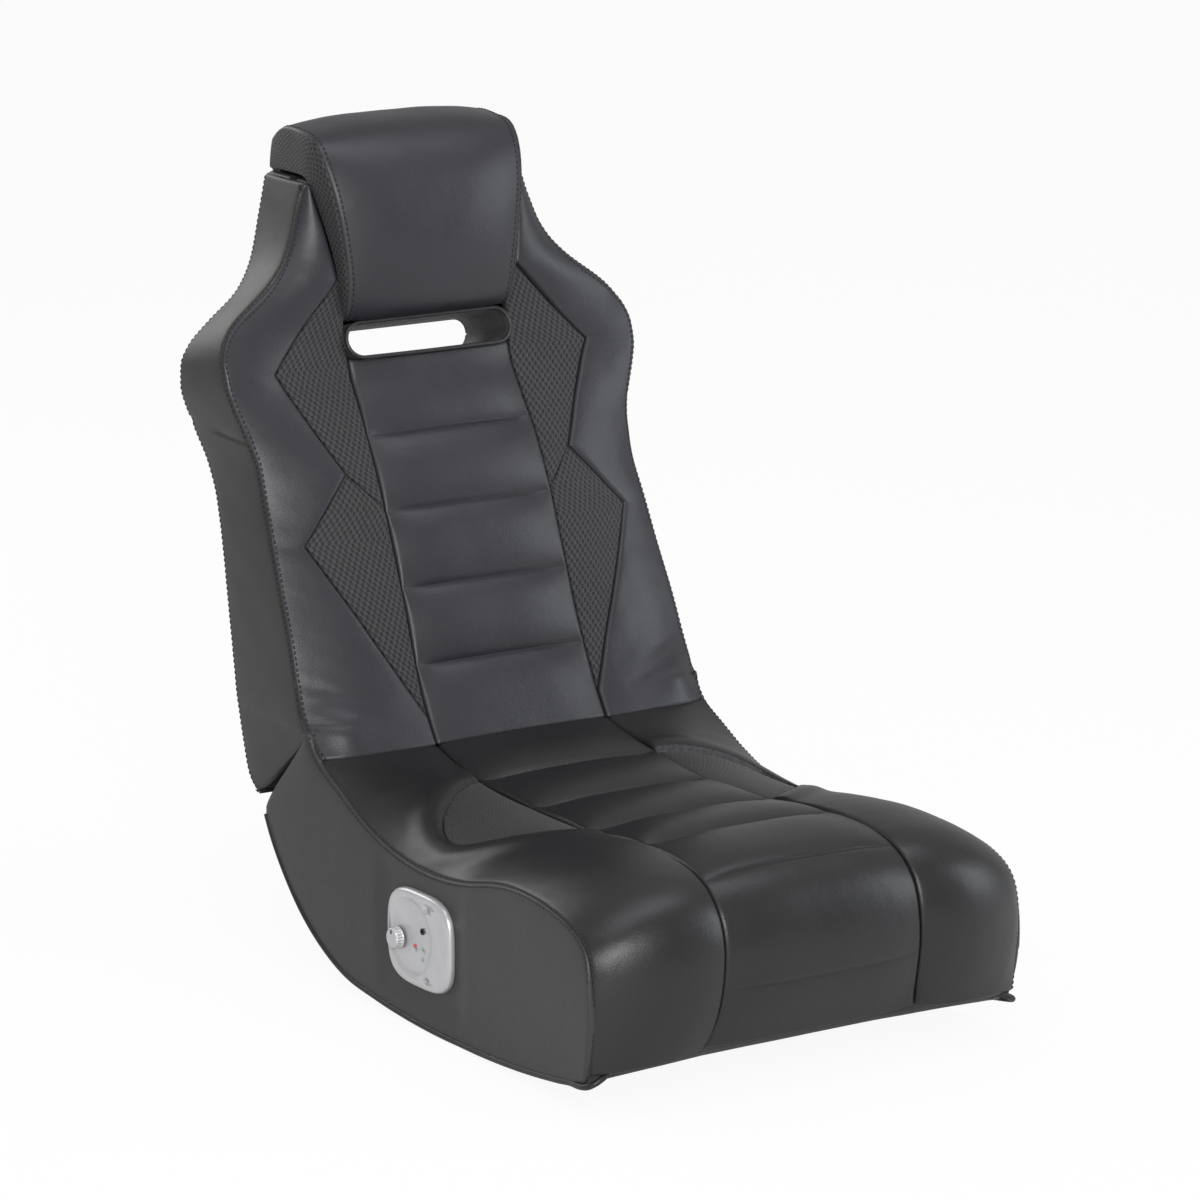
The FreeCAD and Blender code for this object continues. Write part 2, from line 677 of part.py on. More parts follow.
def make_back_center():
    half = dim("seam_x") - dim("seam_gap")
    crown = dim("back_crown")
    sections = [back_center_section(x, crown * (1 - (x / half) ** 2))
                for x in (-half, -half / 2, 0.0, half / 2, half)]
    middle = Part.makeLoft(sections, True, True)
    middle = middle.common(pad_room()).common(back_zone()).cut(lower_cover_band(0.3))
    shaped("back_center_cushion", one_solid(middle.cut(slot_solid(dim("liner_wall") + 0.3))))


def make_back_shell():
    wall = dim("back_wall")
    ring = back_front_solid(0.0).cut(back_front_solid(wall))
    ring = ring.common(back_side_solid()).common(back_zone())
    ring = ring.cut(pivot_cylinder(dim("apex_relief"), -FAR / 2, FAR / 2))
    left = one_solid(ring.common(block(100.0, 300.0, -50.0, 350.0, 100.0, 706.0)))
    for word, side in SIDES:
        shaped("back_side_cover_" + word, sided(left, side))

    inner = back_front_solid(wall + 0.3)
    rear = dim("rear_wall")
    skin = back_side_solid().cut(back_side_solid(0.0, -rear))
    skin = skin.common(block(-FAR / 2, FAR / 2, 60.0, 300.0, 100.0, 706.0))
    skin = skin.common(inner).common(back_zone()).cut(slot_solid(dim("liner_wall") + 0.3))
    shaped("back_rear_cover", one_solid(skin))

    # Board parallel to the front, with a slot hole and a large window behind the lumbar foam.
    front = dim("pad_depth") + 0.3
    board_outline = lean(back_front_curve(), front) + backwards(
        lean(back_front_curve(), front + dim("back_board_thick")))
    board = side_prism(board_outline, -FAR / 2, FAR / 2).common(inner)
    window = [(-146.0, 256.0), (146.0, 256.0), ((150.0, 258.0), (152.0, 264.0)), (152.0, 472.0),
              ((150.0, 478.0), (146.0, 480.0)), (-146.0, 480.0), ((-150.0, 478.0), (-152.0, 472.0)),
              (-152.0, 264.0), ((-150.0, 258.0), (-146.0, 256.0))]
    board = board.cut(front_prism(window, -50.0, 300.0)).cut(slot_solid(dim("liner_wall") + 0.3))
    board = board.common(back_zone()).common(back_side_solid(0.0, -rear - 0.3)).cut(hinge_pocket())
    shaped("back_frame_board", one_solid(board.cut(lower_cover_band(0.3))))

    # Upright rails that stiffen the board and carry the hinge straps.
    deep = lean(back_front_curve(), front + dim("back_board_thick") + 0.3) + lean(back_rear_curve(),
                                                                               -rear - 0.3)
    rail_outer = dim("board_inner") - 2 * dim("plate_thick") - 0.7
    rail = side_prism(deep, rail_outer - dim("rail_thick"), rail_outer)
    rail = rail.common(back_zone()).cut(lower_cover_band(0.3))
    rail = rail.common(block(0.0, 300.0, 0.0, 300.0, 100.0, 425.0))
    for word, side in SIDES:
        shaped("back_side_rail_" + word, sided(one_solid(rail), side))

    band = lower_cover_band(0.0).common(inner).common(back_side_solid(0.0, -rear - 0.3))
    shaped("back_lower_cover", one_solid(band))


HEADREST_CROWN = [(149.0, 573.0), (130.0, 606.0), (129.0, 645.0), (134.0, 690.0), (149.0, 728.0),
                  (170.0, 751.0), (203.0, 760.0), (236.0, 757.0), (249.0, 740.0)]
HEADREST_EDGE = [(152.0, 573.0), (141.0, 606.0), (141.0, 645.0), (145.0, 688.0), (159.0, 730.0),
                 (172.0, 745.0), (196.0, 749.0), (232.0, 748.0), (248.0, 735.0)]


def headrest_outline(points):
    """Side view of the headrest, closed along the backrest's foam."""
    p0, p1, p2, p3, p4, p5, p6, p7, p8 = points
    return [p0, (p1, p2), (p3, p4), (p5, p6), (p7, p8), (250.0, 708.0), (219.0, 708.0),
            ((207.0, 640.0), (192.5, 577.0)), (190.0, 573.0)]


def headrest_crown():
    """Two curved limits that round the pillow off towards its sides."""
    half = 112.0
    bulge = [(-half, 141.0), ((0.0, 129.0), (half, 141.0)), (half, 300.0), (-half, 300.0)]
    swell = plan_prism(bulge, 500.0, 800.0)
    upper = [(-half, 144.0), ((0.0, 133.0), (half, 144.0)), (half, 400.0), (-half, 400.0)]
    slope = Part.Face(closed_wire(upper, plan_plane(688.0)))
    down, up = Vector(0, -22.0, -120.0), Vector(0, 35.0, 110.0)
    slope = slope.extrude(down).fuse(slope.extrude(up))
    return swell.common(slope)


def make_headrest():
    pillow = side_prism(headrest_outline(HEADREST_CROWN), -112.0, 112.0)
    front_view = headrest_plan(0.0)
    front_view[3:] = [((98.0, 756.0), (72.0, 768.0)), ((0.0, 777.0), (-72.0, 768.0)),
                      ((-98.0, 756.0), (-108.0, 735.0))]
    block_shape = front_prism(front_view, -50.0, 300.0).common(headrest_crown())
    board_room = side_prism(lean(back_front_curve(), dim("pad_depth")) + lean(back_rear_curve(), 40.0),
                            -FAR / 2, FAR / 2)
    cushion = pillow.common(block_shape).cut(board_room).cut(slot_solid(dim("liner_wall") + 0.3))
    # Hollow behind the foam, and a pocket at each side for a speaker.
    cushion = cushion.cut(block(-92.0, 92.0, 170.0, 236.0, 596.0, 742.0))
    reach = dim("speaker_radius") + 1.0
    y, z = dim("speaker_y"), dim("speaker_z")
    cavity = block(54.0, 124.0, y - reach, y + reach, z - reach, z + reach)
    cushion = cushion.cut(cavity).cut(mirror_x(cavity))
    shaped("headrest_cushion", one_solid(cushion))

    # Mesh gussets close the headrest's sides.
    side_view = side_prism(headrest_outline(HEADREST_EDGE), -200.0, 200.0)
    band = front_prism(headrest_plan(4.3), -50.0, 300.0).cut(front_prism(headrest_plan(0.3), -50.0, 300.0))
    band = band.common(side_view).cut(board_room).cut(slot_solid(dim("liner_wall") + 0.3))
    gusset = one_solid(band.common(block(0.0, 200.0, 0.0, 300.0, 574.0, 742.0)))
    for word, side in SIDES:
        shaped("headrest_gusset_" + word, sided(gusset, side))


def make_slot():
    room = back_side_solid(1.0, -0.5)
    liner = slot_solid(dim("liner_wall")).cut(slot_solid(0.0)).common(room)
    shaped("slot_liner", one_solid(liner))
    half = dim("slot_half") + 1.0
    rise = dim("slot_rise") + 1.0
    end = half - rise
    radius = dim("trim_radius")
    fall = math.tan(math.radians(dim("slot_lean")))
    trims = []
    for y, tilt in ((dim("slot_y") - 5.6, 20.0), (225.0, 2.0)):
        lean_sin, lean_cos = math.sin(math.radians(tilt)), math.cos(math.radians(tilt))
        z = dim("slot_z") - (y - dim("slot_y")) * fall
        high = rise / (lean_cos + lean_sin * fall)

        def tilted(a, b, y=y, z=z, lean_sin=lean_sin, lean_cos=lean_cos):
            return Vector(a, y + b * lean_sin, z + b * lean_cos)

        trims.append(tube(stadium(end + high, high), tilted, Vector(0, lean_cos, -lean_sin), radius))
    shaped("slot_trims", Part.makeCompound(trims))


def round_face(x, y, z, radius, sides=20):
    corners = [Vector(x, y + radius * math.cos(2 * math.pi * k / sides),
                      z + radius * math.sin(2 * math.pi * k / sides)) for k in range(sides + 1)]
    return Part.Face(Part.makePolygon(corners))


def make_speakers():
    """A small full-range speaker behind each gusset: ring, cone and magnet, hidden and so many-sided."""
    y, z = dim("speaker_y"), dim("speaker_z")
    radius = dim("speaker_radius")
    ring = round_face(84.0, y, z, radius).cut(round_face(84.0, y, z, radius - 5.0)).extrude(Vector(3, 0, 0))
    magnet = round_face(58.0, y, z, 17.0).extrude(Vector(14.0, 0, 0))
    cone = round_face(72.5, y, z, 10.0).extrude(Vector(5.0, 0, 0)).fuse(
        round_face(77.5, y, z, 0.75 * radius).extrude(Vector(3.0, 0, 0))).fuse(
        round_face(80.5, y, z, radius - 6.0).extrude(Vector(3.0, 0, 0)))
    for word, side in SIDES:
        shaped("speaker_frame_" + word, sided(one_solid(ring), side))
        shaped("speaker_cone_" + word, sided(one_solid(cone), side))
        shaped("speaker_magnet_" + word, sided(magnet, side))


# Hinge

def strap_outline(length, width, eye):
    """A strap with a small round eye at its start and a wide round end."""
    half = width / 2
    neck = 24.0
    return [(0.0, -eye), (neck, -half), (length, -half), ((length + half, 0.0), (length, half)),
            (neck, half), (0.0, eye), ((-eye, 0.0), (0.0, -eye))]


def make_strap(label, side, x_low, angle, length_alias, eye, bolts):
    body = new_body("Body_" + label)
    sketch = sketch_on(body, "YZ_Plane", strap_outline(dim(length_alias), dim("strap_width"), dim("strap_eye")), label + "_line")
    pad(body, sketch, "Dims.plate_thick", label + "_pad")
    doc.recompute()
    hole = circle_on(body, "YZ_Plane", (0.0, 0.0), eye, label + "_eye")
    pocket(body, hole, label + "_eye_cut", reverse=True)
    for number, distance in enumerate(bolts):
        spot = circle_on(body, "YZ_Plane", (distance, 0.0), "Dims.bolt_radius", "%s_b%d" % (label, number))
        pocket(body, spot, "%s_bolt_cut%d" % (label, number), reverse=True)
    body.Placement = Placement(Vector(0, 0, 0), Rotation(Vector(1, 0, 0), angle))
    start = x_low if side > 0 else -x_low - dim("plate_thick")
    place(body, label, x=str(start), y="Dims.pivot_y", z="Dims.pivot_z")


SEAT_STRAP_ANGLE = 288.0
BACK_STRAP_ANGLE = 20.0
SEAT_BOLTS = (58.0, 84.0)
BACK_BOLTS = (90.0, 110.0)


def hex_head(centre, radius, height):
    corners = [centre + Vector(0, radius * math.cos(k * math.pi / 3), radius * math.sin(k * math.pi / 3))
               for k in range(7)]
    return Part.Face(Part.makePolygon(corners)).extrude(Vector(height, 0, 0))


def make_hinges():
    plate = dim("plate_thick")
    seat_x = dim("board_inner") - 0.2 - plate
    back_x = seat_x - 0.3 - plate
    for word, side in SIDES:
        make_strap("hinge_seat_strap_" + word, side, seat_x, SEAT_STRAP_ANGLE, "seat_strap_len",
                   "Dims.pin_radius", SEAT_BOLTS)
        make_strap("hinge_back_strap_" + word, side, back_x, BACK_STRAP_ANGLE, "back_strap_len",
                   "Dims.pin_radius + Dims.pin_play", BACK_BOLTS)
        axis = Vector(side, 0, 0)
        head_at = Vector(side * (back_x - 3.4), dim("pivot_y"), dim("pivot_z"))
        pin = Part.makeCylinder(dim("pin_radius"), 2 * plate + 3.6, head_at, axis)
        head = Part.makeCylinder(dim("pin_radius") + 2.0, 3.0, head_at, axis)
        shaped("hinge_pin_" + word, pin.fuse(head).removeSplitter())
    for label, angle, distances, plate_x, outward in (
            ("hinge_seat_bolts", SEAT_STRAP_ANGLE, SEAT_BOLTS, seat_x, 1.0),
            ("hinge_back_bolts", BACK_STRAP_ANGLE, BACK_BOLTS, back_x, -1.0)):
        bolts = []
        for word, side in SIDES:
            for distance in distances:
                y, z = polar(angle, distance)
                # Heads lie on the free face of the strap, shanks run into the wood.
                face = plate_x if outward > 0 else plate_x + plate
                centre = Vector(side * face, y, z)
                shank = Part.makeCylinder(dim("bolt_radius"), plate, centre, Vector(side * outward, 0, 0))
                cap = hex_head(centre, dim("bolt_head"), -2.6 * side * outward)
                bolts.append(shank.fuse(cap).removeSplitter())
        shaped(label, Part.makeCompound(bolts))


# Control panel

def make_control_panel():
    y, z = dim("panel_y"), dim("panel_z")
    outer = -dim("seat_half") - 0.3
    round_edge, bow = 20.0, 3.0
    half_long, half_tall = dim("panel_long") / 2 - round_edge, dim("panel_tall") / 2 - round_edge
    left, right, low, high = y - half_long, y + half_long, z - half_tall, z + half_tall
    # Four bowed sides, grown outwards with round corners.
    core = [(left + bow, low + bow), ((y, low), (right - bow, low + bow)), ((right, z), (right - bow, high - bow)),
            ((y, high), (left + bow, high - bow)), ((left, z), (left + bow, low + bow))]
    rounded = closed_wire(core, side_plane(outer - dim("panel_thick"))).makeOffset2D(round_edge)
    plate = Part.Face(rounded).extrude(Vector(dim("panel_thick"), 0, 0))
    rim = [edge for edge in plate.Edges if edge.BoundBox.XMax < outer - dim("panel_thick") + 0.01]
    plate = plate.makeChamfer(2.4, rim)
    # Round dish with a stepped floor round the controls.
    dish_x = outer - dim("panel_thick")
    for radius, depth in ((dim("dish_radius"), 0.5 * dim("dish_depth")),
                          (dim("dish_radius") - 10.0, dim("dish_depth"))):
        dish = round_face(dish_x - 1.0, y + 13.0, z - 1.0, radius, 48)
        plate = plate.cut(dish.extrude(Vector(depth + 1.0, 0, 0)))
    knob_y, knob_z = y + 33.0, z - 7.0
    across = Vector(1, 0, 0)
    holes = [(knob_y, knob_z, dim("shaft_radius") + 1.0), (y - 5.0, z + 7.0, dim("jack_radius") + 1.3)]
    lens_spots = [(y + 8.0, z - 9.0, 1.5), (y - 4.0, z - 9.0, 1.2), (y - 5.0, z - 19.0, 1.2)]
    screw_spots = [(y - 17.0, z + 30.0), (y - 15.0, z - 36.0)]
    holes += lens_spots
    holes += [(a, b, 1.6) for a, b in screw_spots]
    for a, b, radius in holes:
        plate = plate.cut(Part.makeCylinder(radius, 40.0, Vector(outer - 20.0, a, b), across))
    for a, b in screw_spots:
        plate = plate.cut(Part.makeCylinder(3.4, 20.0, Vector(outer - 21.6, a, b), across))
    shaped("control_panel_bezel", one_solid(plate))

    lenses = [Part.makeCylinder(r - 0.1, 5.0, Vector(outer - 6.0, a, b), across) for a, b, r in lens_spots]
    shaped("indicator_lenses", Part.makeCompound(lenses))
    screws = []
    for a, b in screw_spots:
        head = Part.makeCylinder(3.0, 1.4, Vector(outer - 3.0, a, b), across)
        shank = Part.makeCylinder(1.4, 9.0, Vector(outer - 3.0, a, b), across)
        cross = block(outer - 3.1, outer - 2.3, a - 1.8, a + 1.8, b - 0.4, b + 0.4).fuse(
            block(outer - 3.1, outer - 2.3, a - 0.4, a + 0.4, b - 1.8, b + 1.8))
        screws.append(head.fuse(shank).cut(cross).removeSplitter())
    shaped("panel_screws", Part.makeCompound(screws))

    jack_y, jack_z = holes[1][0], holes[1][1]
    barrel = Part.makeCylinder(dim("jack_radius") + 1.2, 15.0, Vector(outer - 4.0, jack_y, jack_z), across)
    barrel = barrel.cut(Part.makeCylinder(dim("jack_radius"), 14.0, Vector(outer - 4.0, jack_y, jack_z), across))
    shaped("audio_jack", barrel)

    # Moulded amplifier case behind the panel, open to the front.
    half_case, half_rise = dim("case_long") / 2, dim("case_tall") / 2
    back_x = outer + dim("case_deep")
    case = block(outer + 0.2, back_x, y - half_case, y + half_case, z - half_rise, z + half_rise)
    wall = 2.5
    room = block(outer, back_x - wall, y - half_case + wall, y + half_case - wall, z - half_rise + wall,
                 z + half_rise - wall)
    posts = [block(outer + 9.0, back_x - wall, a - 4.0, a + 4.0, b - 4.0, b + 4.0) for a, b in screw_spots]
    case = case.cut(room)
    for post in posts:
        case = case.fuse(post)
    shaped("amplifier_case", case.removeSplitter())

    # Circuit board with a heat sink and two round capacitors, standing behind the panel.
    board_x = outer + 20.0
    board = block(board_x, board_x + 1.6, y - 38.0, y + 38.0, z - 26.0, z + 26.0)
    for post in posts:
        grown = post.BoundBox
        board = board.cut(block(board_x - 1, board_x + 3, grown.YMin - 0.5, grown.YMax + 0.5, grown.ZMin - 0.5,
                                grown.ZMax + 0.5))
    sink = block(board_x + 1.6, board_x + 14.0, y - 6.0, y + 24.0, z + 2.0, z + 5.0)
    for fin in range(5):
        fin_y = y - 6.0 + fin * 7.0
        sink = sink.fuse(block(board_x + 1.6, board_x + 14.0, fin_y, fin_y + 1.6, z + 5.0, z + 15.0))
    caps = [Part.makeCylinder(5.0, 12.0, Vector(board_x + 1.6, y + offset, z - 14.0), across)
            for offset in (-18.0, 4.0)]
    for item in [sink] + caps:
        board = board.fuse(item)
    shaped("amplifier_board", board.removeSplitter())

    # Volume control: a fixed bush, and a shaft that turns in it with the knob.
    pot = block(outer + 8.0, outer + 16.0, knob_y - 8.0, knob_y + 8.0, knob_z - 8.0, knob_z + 8.0)
    bush = Part.makeCylinder(dim("shaft_radius") + 0.9, 7.0, Vector(outer + 1.2, knob_y, knob_z), across)
    pot = pot.fuse(bush)
    bore = Part.makeCylinder(dim("shaft_radius") + dim("pin_play"), 13.0, Vector(outer + 1.2, knob_y, knob_z),
                             across)
    shaped("volume_control", pot.cut(bore).removeSplitter())
    shaft = Part.makeCylinder(dim("shaft_radius"), 22.0, Vector(outer - 9.0, knob_y, knob_z), across)
    shaped("volume_shaft", shaft)
    knob_base = outer - 6.2
    make_knob(knob_base, knob_y, knob_z)


def make_knob(base_x, y, z):
    """A ribbed knob with a pointer slot; its skirt faces the panel."""
    ribs = 18
    body = new_body("Body_volume_knob")
    disc = circle_on(body, "YZ_Plane", (0.0, 0.0), "Dims.knob_radius", "knob_disc")
    pad(body, disc, "Dims.knob_length", "knob_pad", reverse=True)
    doc.recompute()
    half_angle = math.pi / ribs / 2
    radius = dim("knob_radius")
    inner, outer = radius - 0.9, radius + 1.0
    groove = [(inner * math.cos(-half_angle * 0.5), inner * math.sin(-half_angle * 0.5)),
              (outer * math.cos(-half_angle), outer * math.sin(-half_angle)),
              (outer * math.cos(half_angle), outer * math.sin(half_angle)),
              (inner * math.cos(half_angle * 0.5), inner * math.sin(half_angle * 0.5))]
    rib = sketch_on(body, "YZ_Plane", groove, "knob_rib")
    cut = pocket(body, rib, "knob_rib_cut", reverse=False)
    doc.recompute()
    pattern = body.newObject("PartDesign::PolarPattern", "knob_ribs")
    pattern.Originals = [cut]
    axis = [f for f in body.Origin.OriginFeatures if f.Role == "X_Axis"][0]
    pattern.Axis = (axis, [""])
    pattern.Angle = 360.0
    pattern.Occurrences = ribs
    body.Tip = pattern
    doc.recompute()
    bore = circle_on(body, "YZ_Plane", (0.0, 0.0), "Dims.shaft_radius + 0.02", "knob_bore")
    hole = body.newObject("PartDesign::Pocket", "knob_bore_cut")
    hole.Profile = bore
    hole.Length = 3.0
    hole.Reversed = False
    place(body, "volume_knob", x=str(base_x), y="(%s)" % y, z=str(z))


make_seat_frame()
make_seat_cushions()
make_seat_covers()
make_glides()
make_back_pads()
make_back_center()
make_back_shell()
make_headrest()
make_slot()
make_speakers()
make_hinges()
make_control_panel()
doc.recompute()

failed = [item.Name for item in doc.Objects if "Invalid" in item.State or "Error" in item.State]
bad = [item.Label for item in subparts if item.Shape.isNull() or not item.Shape.isValid()]
if failed or bad:
    raise RuntimeError("failed: %s, bad shapes: %s" % (failed, bad))

os.makedirs("parts", exist_ok=True)
low = [FAR, FAR, FAR]
high = [-FAR, -FAR, -FAR]
for item in subparts:
    item.Shape.exportStep("parts/%s.step" % item.Label)
    box = item.Shape.BoundBox
    low = [min(a, b) for a, b in zip(low, (box.XMin, box.YMin, box.ZMin))]
    high = [max(a, b) for a, b in zip(high, (box.XMax, box.YMax, box.ZMax))]
print("pieces", len(subparts), "low", [round(v, 2) for v in low], "high", [round(v, 2) for v in high])
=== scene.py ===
import math

import bpy
import numpy as np
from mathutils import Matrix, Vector


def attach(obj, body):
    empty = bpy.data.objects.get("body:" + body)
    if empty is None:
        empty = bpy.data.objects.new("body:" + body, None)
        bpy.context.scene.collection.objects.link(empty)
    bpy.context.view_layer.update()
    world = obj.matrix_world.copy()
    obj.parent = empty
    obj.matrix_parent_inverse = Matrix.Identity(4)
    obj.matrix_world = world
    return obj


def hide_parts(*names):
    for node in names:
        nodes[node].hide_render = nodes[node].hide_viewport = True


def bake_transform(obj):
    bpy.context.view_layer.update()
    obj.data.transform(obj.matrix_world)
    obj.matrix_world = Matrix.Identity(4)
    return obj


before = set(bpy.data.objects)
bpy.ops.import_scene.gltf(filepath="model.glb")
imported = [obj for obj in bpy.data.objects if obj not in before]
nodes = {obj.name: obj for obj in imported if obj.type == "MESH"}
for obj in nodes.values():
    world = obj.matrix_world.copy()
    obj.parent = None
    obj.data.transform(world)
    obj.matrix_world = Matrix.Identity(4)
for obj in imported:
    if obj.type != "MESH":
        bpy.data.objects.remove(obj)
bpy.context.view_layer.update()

# Lengths are in millimetres with y = 0 at the crease between seat and backrest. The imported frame's y is SHIFT more.
SHIFT = 121.06
SEAT_X = 212.0
PIVOT = (11.0, 229.0)
MITRE = math.radians(38.0)
ROCKER_RADIUS, ROCKER_Y = 1050.0, -215.0
COVER_HALF = 205.5
# Where a stuffed edge curves, its rows and columns lie at these distances.
FINE = [0.0, 0.5, 1.2, 2.2, 3.6]
SIDES = (("left", 1), ("right", -1))


def to_row(points):
    points = np.asarray(points, float)
    return (points + np.array([0.0, SHIFT, 0.0])) / 1000.0


# ---------------------------------------------------------------- curves

def lengths_along(points):
    """Distance of each point of a row from its first point."""
    return np.concatenate([[0.0], np.cumsum(np.linalg.norm(np.diff(points, axis=0), axis=1))])


def spline(points):
    """A smooth curve through points, as a function of t from 0 to 1 that follows its length."""
    points = np.asarray(points, float)
    knots = lengths_along(points)
    count = len(points)
    gaps = np.diff(knots)
    matrix = np.zeros((count, count))
    right = np.zeros((count, points.shape[1]))
    matrix[0, 0] = matrix[-1, -1] = 1.0
    for i in range(1, count - 1):
        matrix[i, i - 1] = gaps[i - 1]
        matrix[i, i] = 2 * (gaps[i - 1] + gaps[i])
        matrix[i, i + 1] = gaps[i]
        right[i] = 6 * ((points[i + 1] - points[i]) / gaps[i] - (points[i] - points[i - 1]) / gaps[i - 1])
    bend = np.linalg.solve(matrix, right)

    def at(t):
        u = np.clip(np.asarray(t, float), 0, 1) * knots[-1]
        k = np.clip(np.searchsorted(knots, u, side="right") - 1, 0, count - 2)
        h = gaps[k][..., None]
        a = ((knots[k + 1] - u)[..., None]) / h
        b = 1 - a
        return (a * points[k] + b * points[k + 1]
                + ((a ** 3 - a) * bend[k] + (b ** 3 - b) * bend[k + 1]) * h ** 2 / 6)

    at.length = knots[-1]
    return at


def by_height(points):
    """x and y of a boundary as smooth monotone-safe functions of z, from rows of (x, y, z)."""
    points = np.asarray(sorted(points, key=lambda p: p[2]), float)
    z = points[:, 2]
    values = points[:, :2]
    gaps = np.diff(z)[:, None]
    slopes = np.diff(values, axis=0) / gaps
    tangent = np.zeros_like(values)
    tangent[0], tangent[-1] = slopes[0], slopes[-1]
    for i in range(1, len(z) - 1):
        w1, w2 = 2 * gaps[i, 0] + gaps[i - 1, 0], gaps[i, 0] + 2 * gaps[i - 1, 0]
        same = slopes[i - 1] * slopes[i] > 0
        with np.errstate(divide="ignore", invalid="ignore"):
            tangent[i] = np.where(same, (w1 + w2) / (w1 / slopes[i - 1] + w2 / slopes[i]), 0)

    def at(q):
        q = np.clip(np.asarray(q, float), z[0], z[-1])
        k = np.clip(np.searchsorted(z, q, side="right") - 1, 0, len(z) - 2)
        h = gaps[k, 0]
        u = ((q - z[k]) / h)[..., None]
        h = h[..., None]
        return ((2 * u ** 3 - 3 * u ** 2 + 1) * values[k] + (u ** 3 - 2 * u ** 2 + u) * h * tangent[k]
                + (-2 * u ** 3 + 3 * u ** 2) * values[k + 1] + (u ** 3 - u ** 2) * h * tangent[k + 1])

    return at


def stations(length, spacing, lines=(), edge=6.0):
    """Distances along a piece: fine at its ends and on both sides of its sewn lines."""
    fine = FINE + [edge]
    marks = list(np.arange(0, length, spacing)) + fine + [length - f for f in fine]
    for line in lines:
        marks += [line + f * side for f in fine for side in (-1, 1)]
    marks = sorted(m for m in marks if 0 <= m <= length)
    kept = [0.0]
    for mark in marks[1:]:
        if mark - kept[-1] > 0.45:
            kept.append(mark)
    kept[-1] = length
    return np.array(kept)


def shares(width, middle=12):
    """Shares across a row of that width, fine near both sides."""
    edge = 6.0
    fine = np.array(FINE + [edge])
    fine = fine * min(1.0, 0.3 * width / edge) / max(width, 1e-6)
    inner = np.linspace(fine[-1], 1 - fine[-1], middle + 2)[1:-1]
    return np.concatenate([fine, inner, 1 - fine[::-1]])


def rows_between(a, b, middle=12):
    """A grid of points between two matched rows of points, and the shares across it."""
    widths = np.linalg.norm(b - a, axis=1)
    share = np.array([shares(w, middle) for w in widths])
    return a[:, None, :] + (b - a)[:, None, :] * share[..., None], share


def unit(vectors):
    return vectors / np.maximum(np.linalg.norm(vectors, axis=-1, keepdims=True), 1e-9)


def grid_normals(grid, out):
    du = np.gradient(grid, axis=0)
    dv = np.gradient(grid, axis=1)
    normal = np.cross(du, dv)
    length = np.linalg.norm(normal, axis=-1, keepdims=True)
    normal = np.where(length > 1e-6, normal / np.maximum(length, 1e-9), 0)
    sign = np.sign((normal * np.asarray(out, float)).sum())
    normal = normal * (sign if sign else 1.0)
    weak = np.linalg.norm(normal, axis=-1) < 0.5
    normal[weak] = np.asarray(out, float) / np.linalg.norm(out)
    return normal


def edge_distances(grid):
    """Distance of each point from the grid's four sides, in the order first row, last row, first and last column."""
    step_u = np.linalg.norm(np.diff(grid, axis=0), axis=2)
    step_v = np.linalg.norm(np.diff(grid, axis=1), axis=2)
    from_top = np.vstack([np.zeros(grid.shape[1]), np.cumsum(step_u, axis=0)])
    from_left = np.hstack([np.zeros((grid.shape[0], 1)), np.cumsum(step_v, axis=1)])
    to_bottom = from_top[-1][None, :] - from_top
    to_right = from_left[:, -1][:, None] - from_left
    row = unit(grid[:, -1] - grid[:, 0])
    for side, distance in ((0, from_left), (-1, to_right)):
        tangent = unit(np.gradient(grid[:, side], axis=0))
        slant = np.linalg.norm(np.cross(tangent, row), axis=1)
        distance *= np.clip(slant, 0.25, 1)[:, None]
    return [from_top, to_bottom, from_left, to_right]


def dome(share):
    """A round rise between the two ends of a share from 0 to 1."""
    return np.sqrt(np.clip(4 * share * (1 - share), 0, 1))


def tuck(distance, radius):
    """How deep a stuffed edge turns in at a distance from its seam."""
    near = np.clip(radius - distance, 0, radius)
    return radius - np.sqrt(np.maximum(radius ** 2 - near ** 2, 0))


# ---------------------------------------------------------------- meshes

def new_object(name, verts, faces, finish, uvs):
    mesh = bpy.data.meshes.new(name)
    mesh.from_pydata([tuple(v) for v in verts], [], faces)
    layer = mesh.uv_layers.new(name="UVMap")
    index = np.zeros(len(mesh.loops), dtype=np.int64)
    mesh.loops.foreach_get("vertex_index", index)
    layer.data.foreach_set("uv", np.asarray(uvs, np.float32)[index].ravel())
    mesh.validate()
    mesh.polygons.foreach_set("use_smooth", [True] * len(mesh.polygons))
    mesh.update()
    item = bpy.data.objects.new(name, mesh)
    bpy.context.scene.collection.objects.link(item)
    item.data.materials.append(finish)
    return item


def fix_normals(item):
    bpy.context.view_layer.objects.active = item
    item.select_set(True)
    bpy.ops.object.mode_set(mode="EDIT")
    bpy.ops.mesh.select_all(action="SELECT")
    bpy.ops.mesh.normals_make_consistent(inside=False)
    bpy.ops.object.mode_set(mode="OBJECT")
    item.select_set(False)
    return item


def sheet_uv(grid):
    """Lengths along the surface in metres, so that a weave keeps its size."""
    step_u = np.linalg.norm(np.diff(grid, axis=0), axis=2)
    step_v = np.linalg.norm(np.diff(grid, axis=1), axis=2)
    middle = grid.shape[1] // 2
    u = np.concatenate([[0], np.cumsum(step_u[:, middle])])[:, None] * np.ones((1, grid.shape[1]))
    v = np.hstack([np.zeros((grid.shape[0], 1)), np.cumsum(step_v, axis=1)])
    v = v - v[:, middle][:, None]
    return np.stack([u, v], axis=-1).reshape(-1, 2) / 1000.0


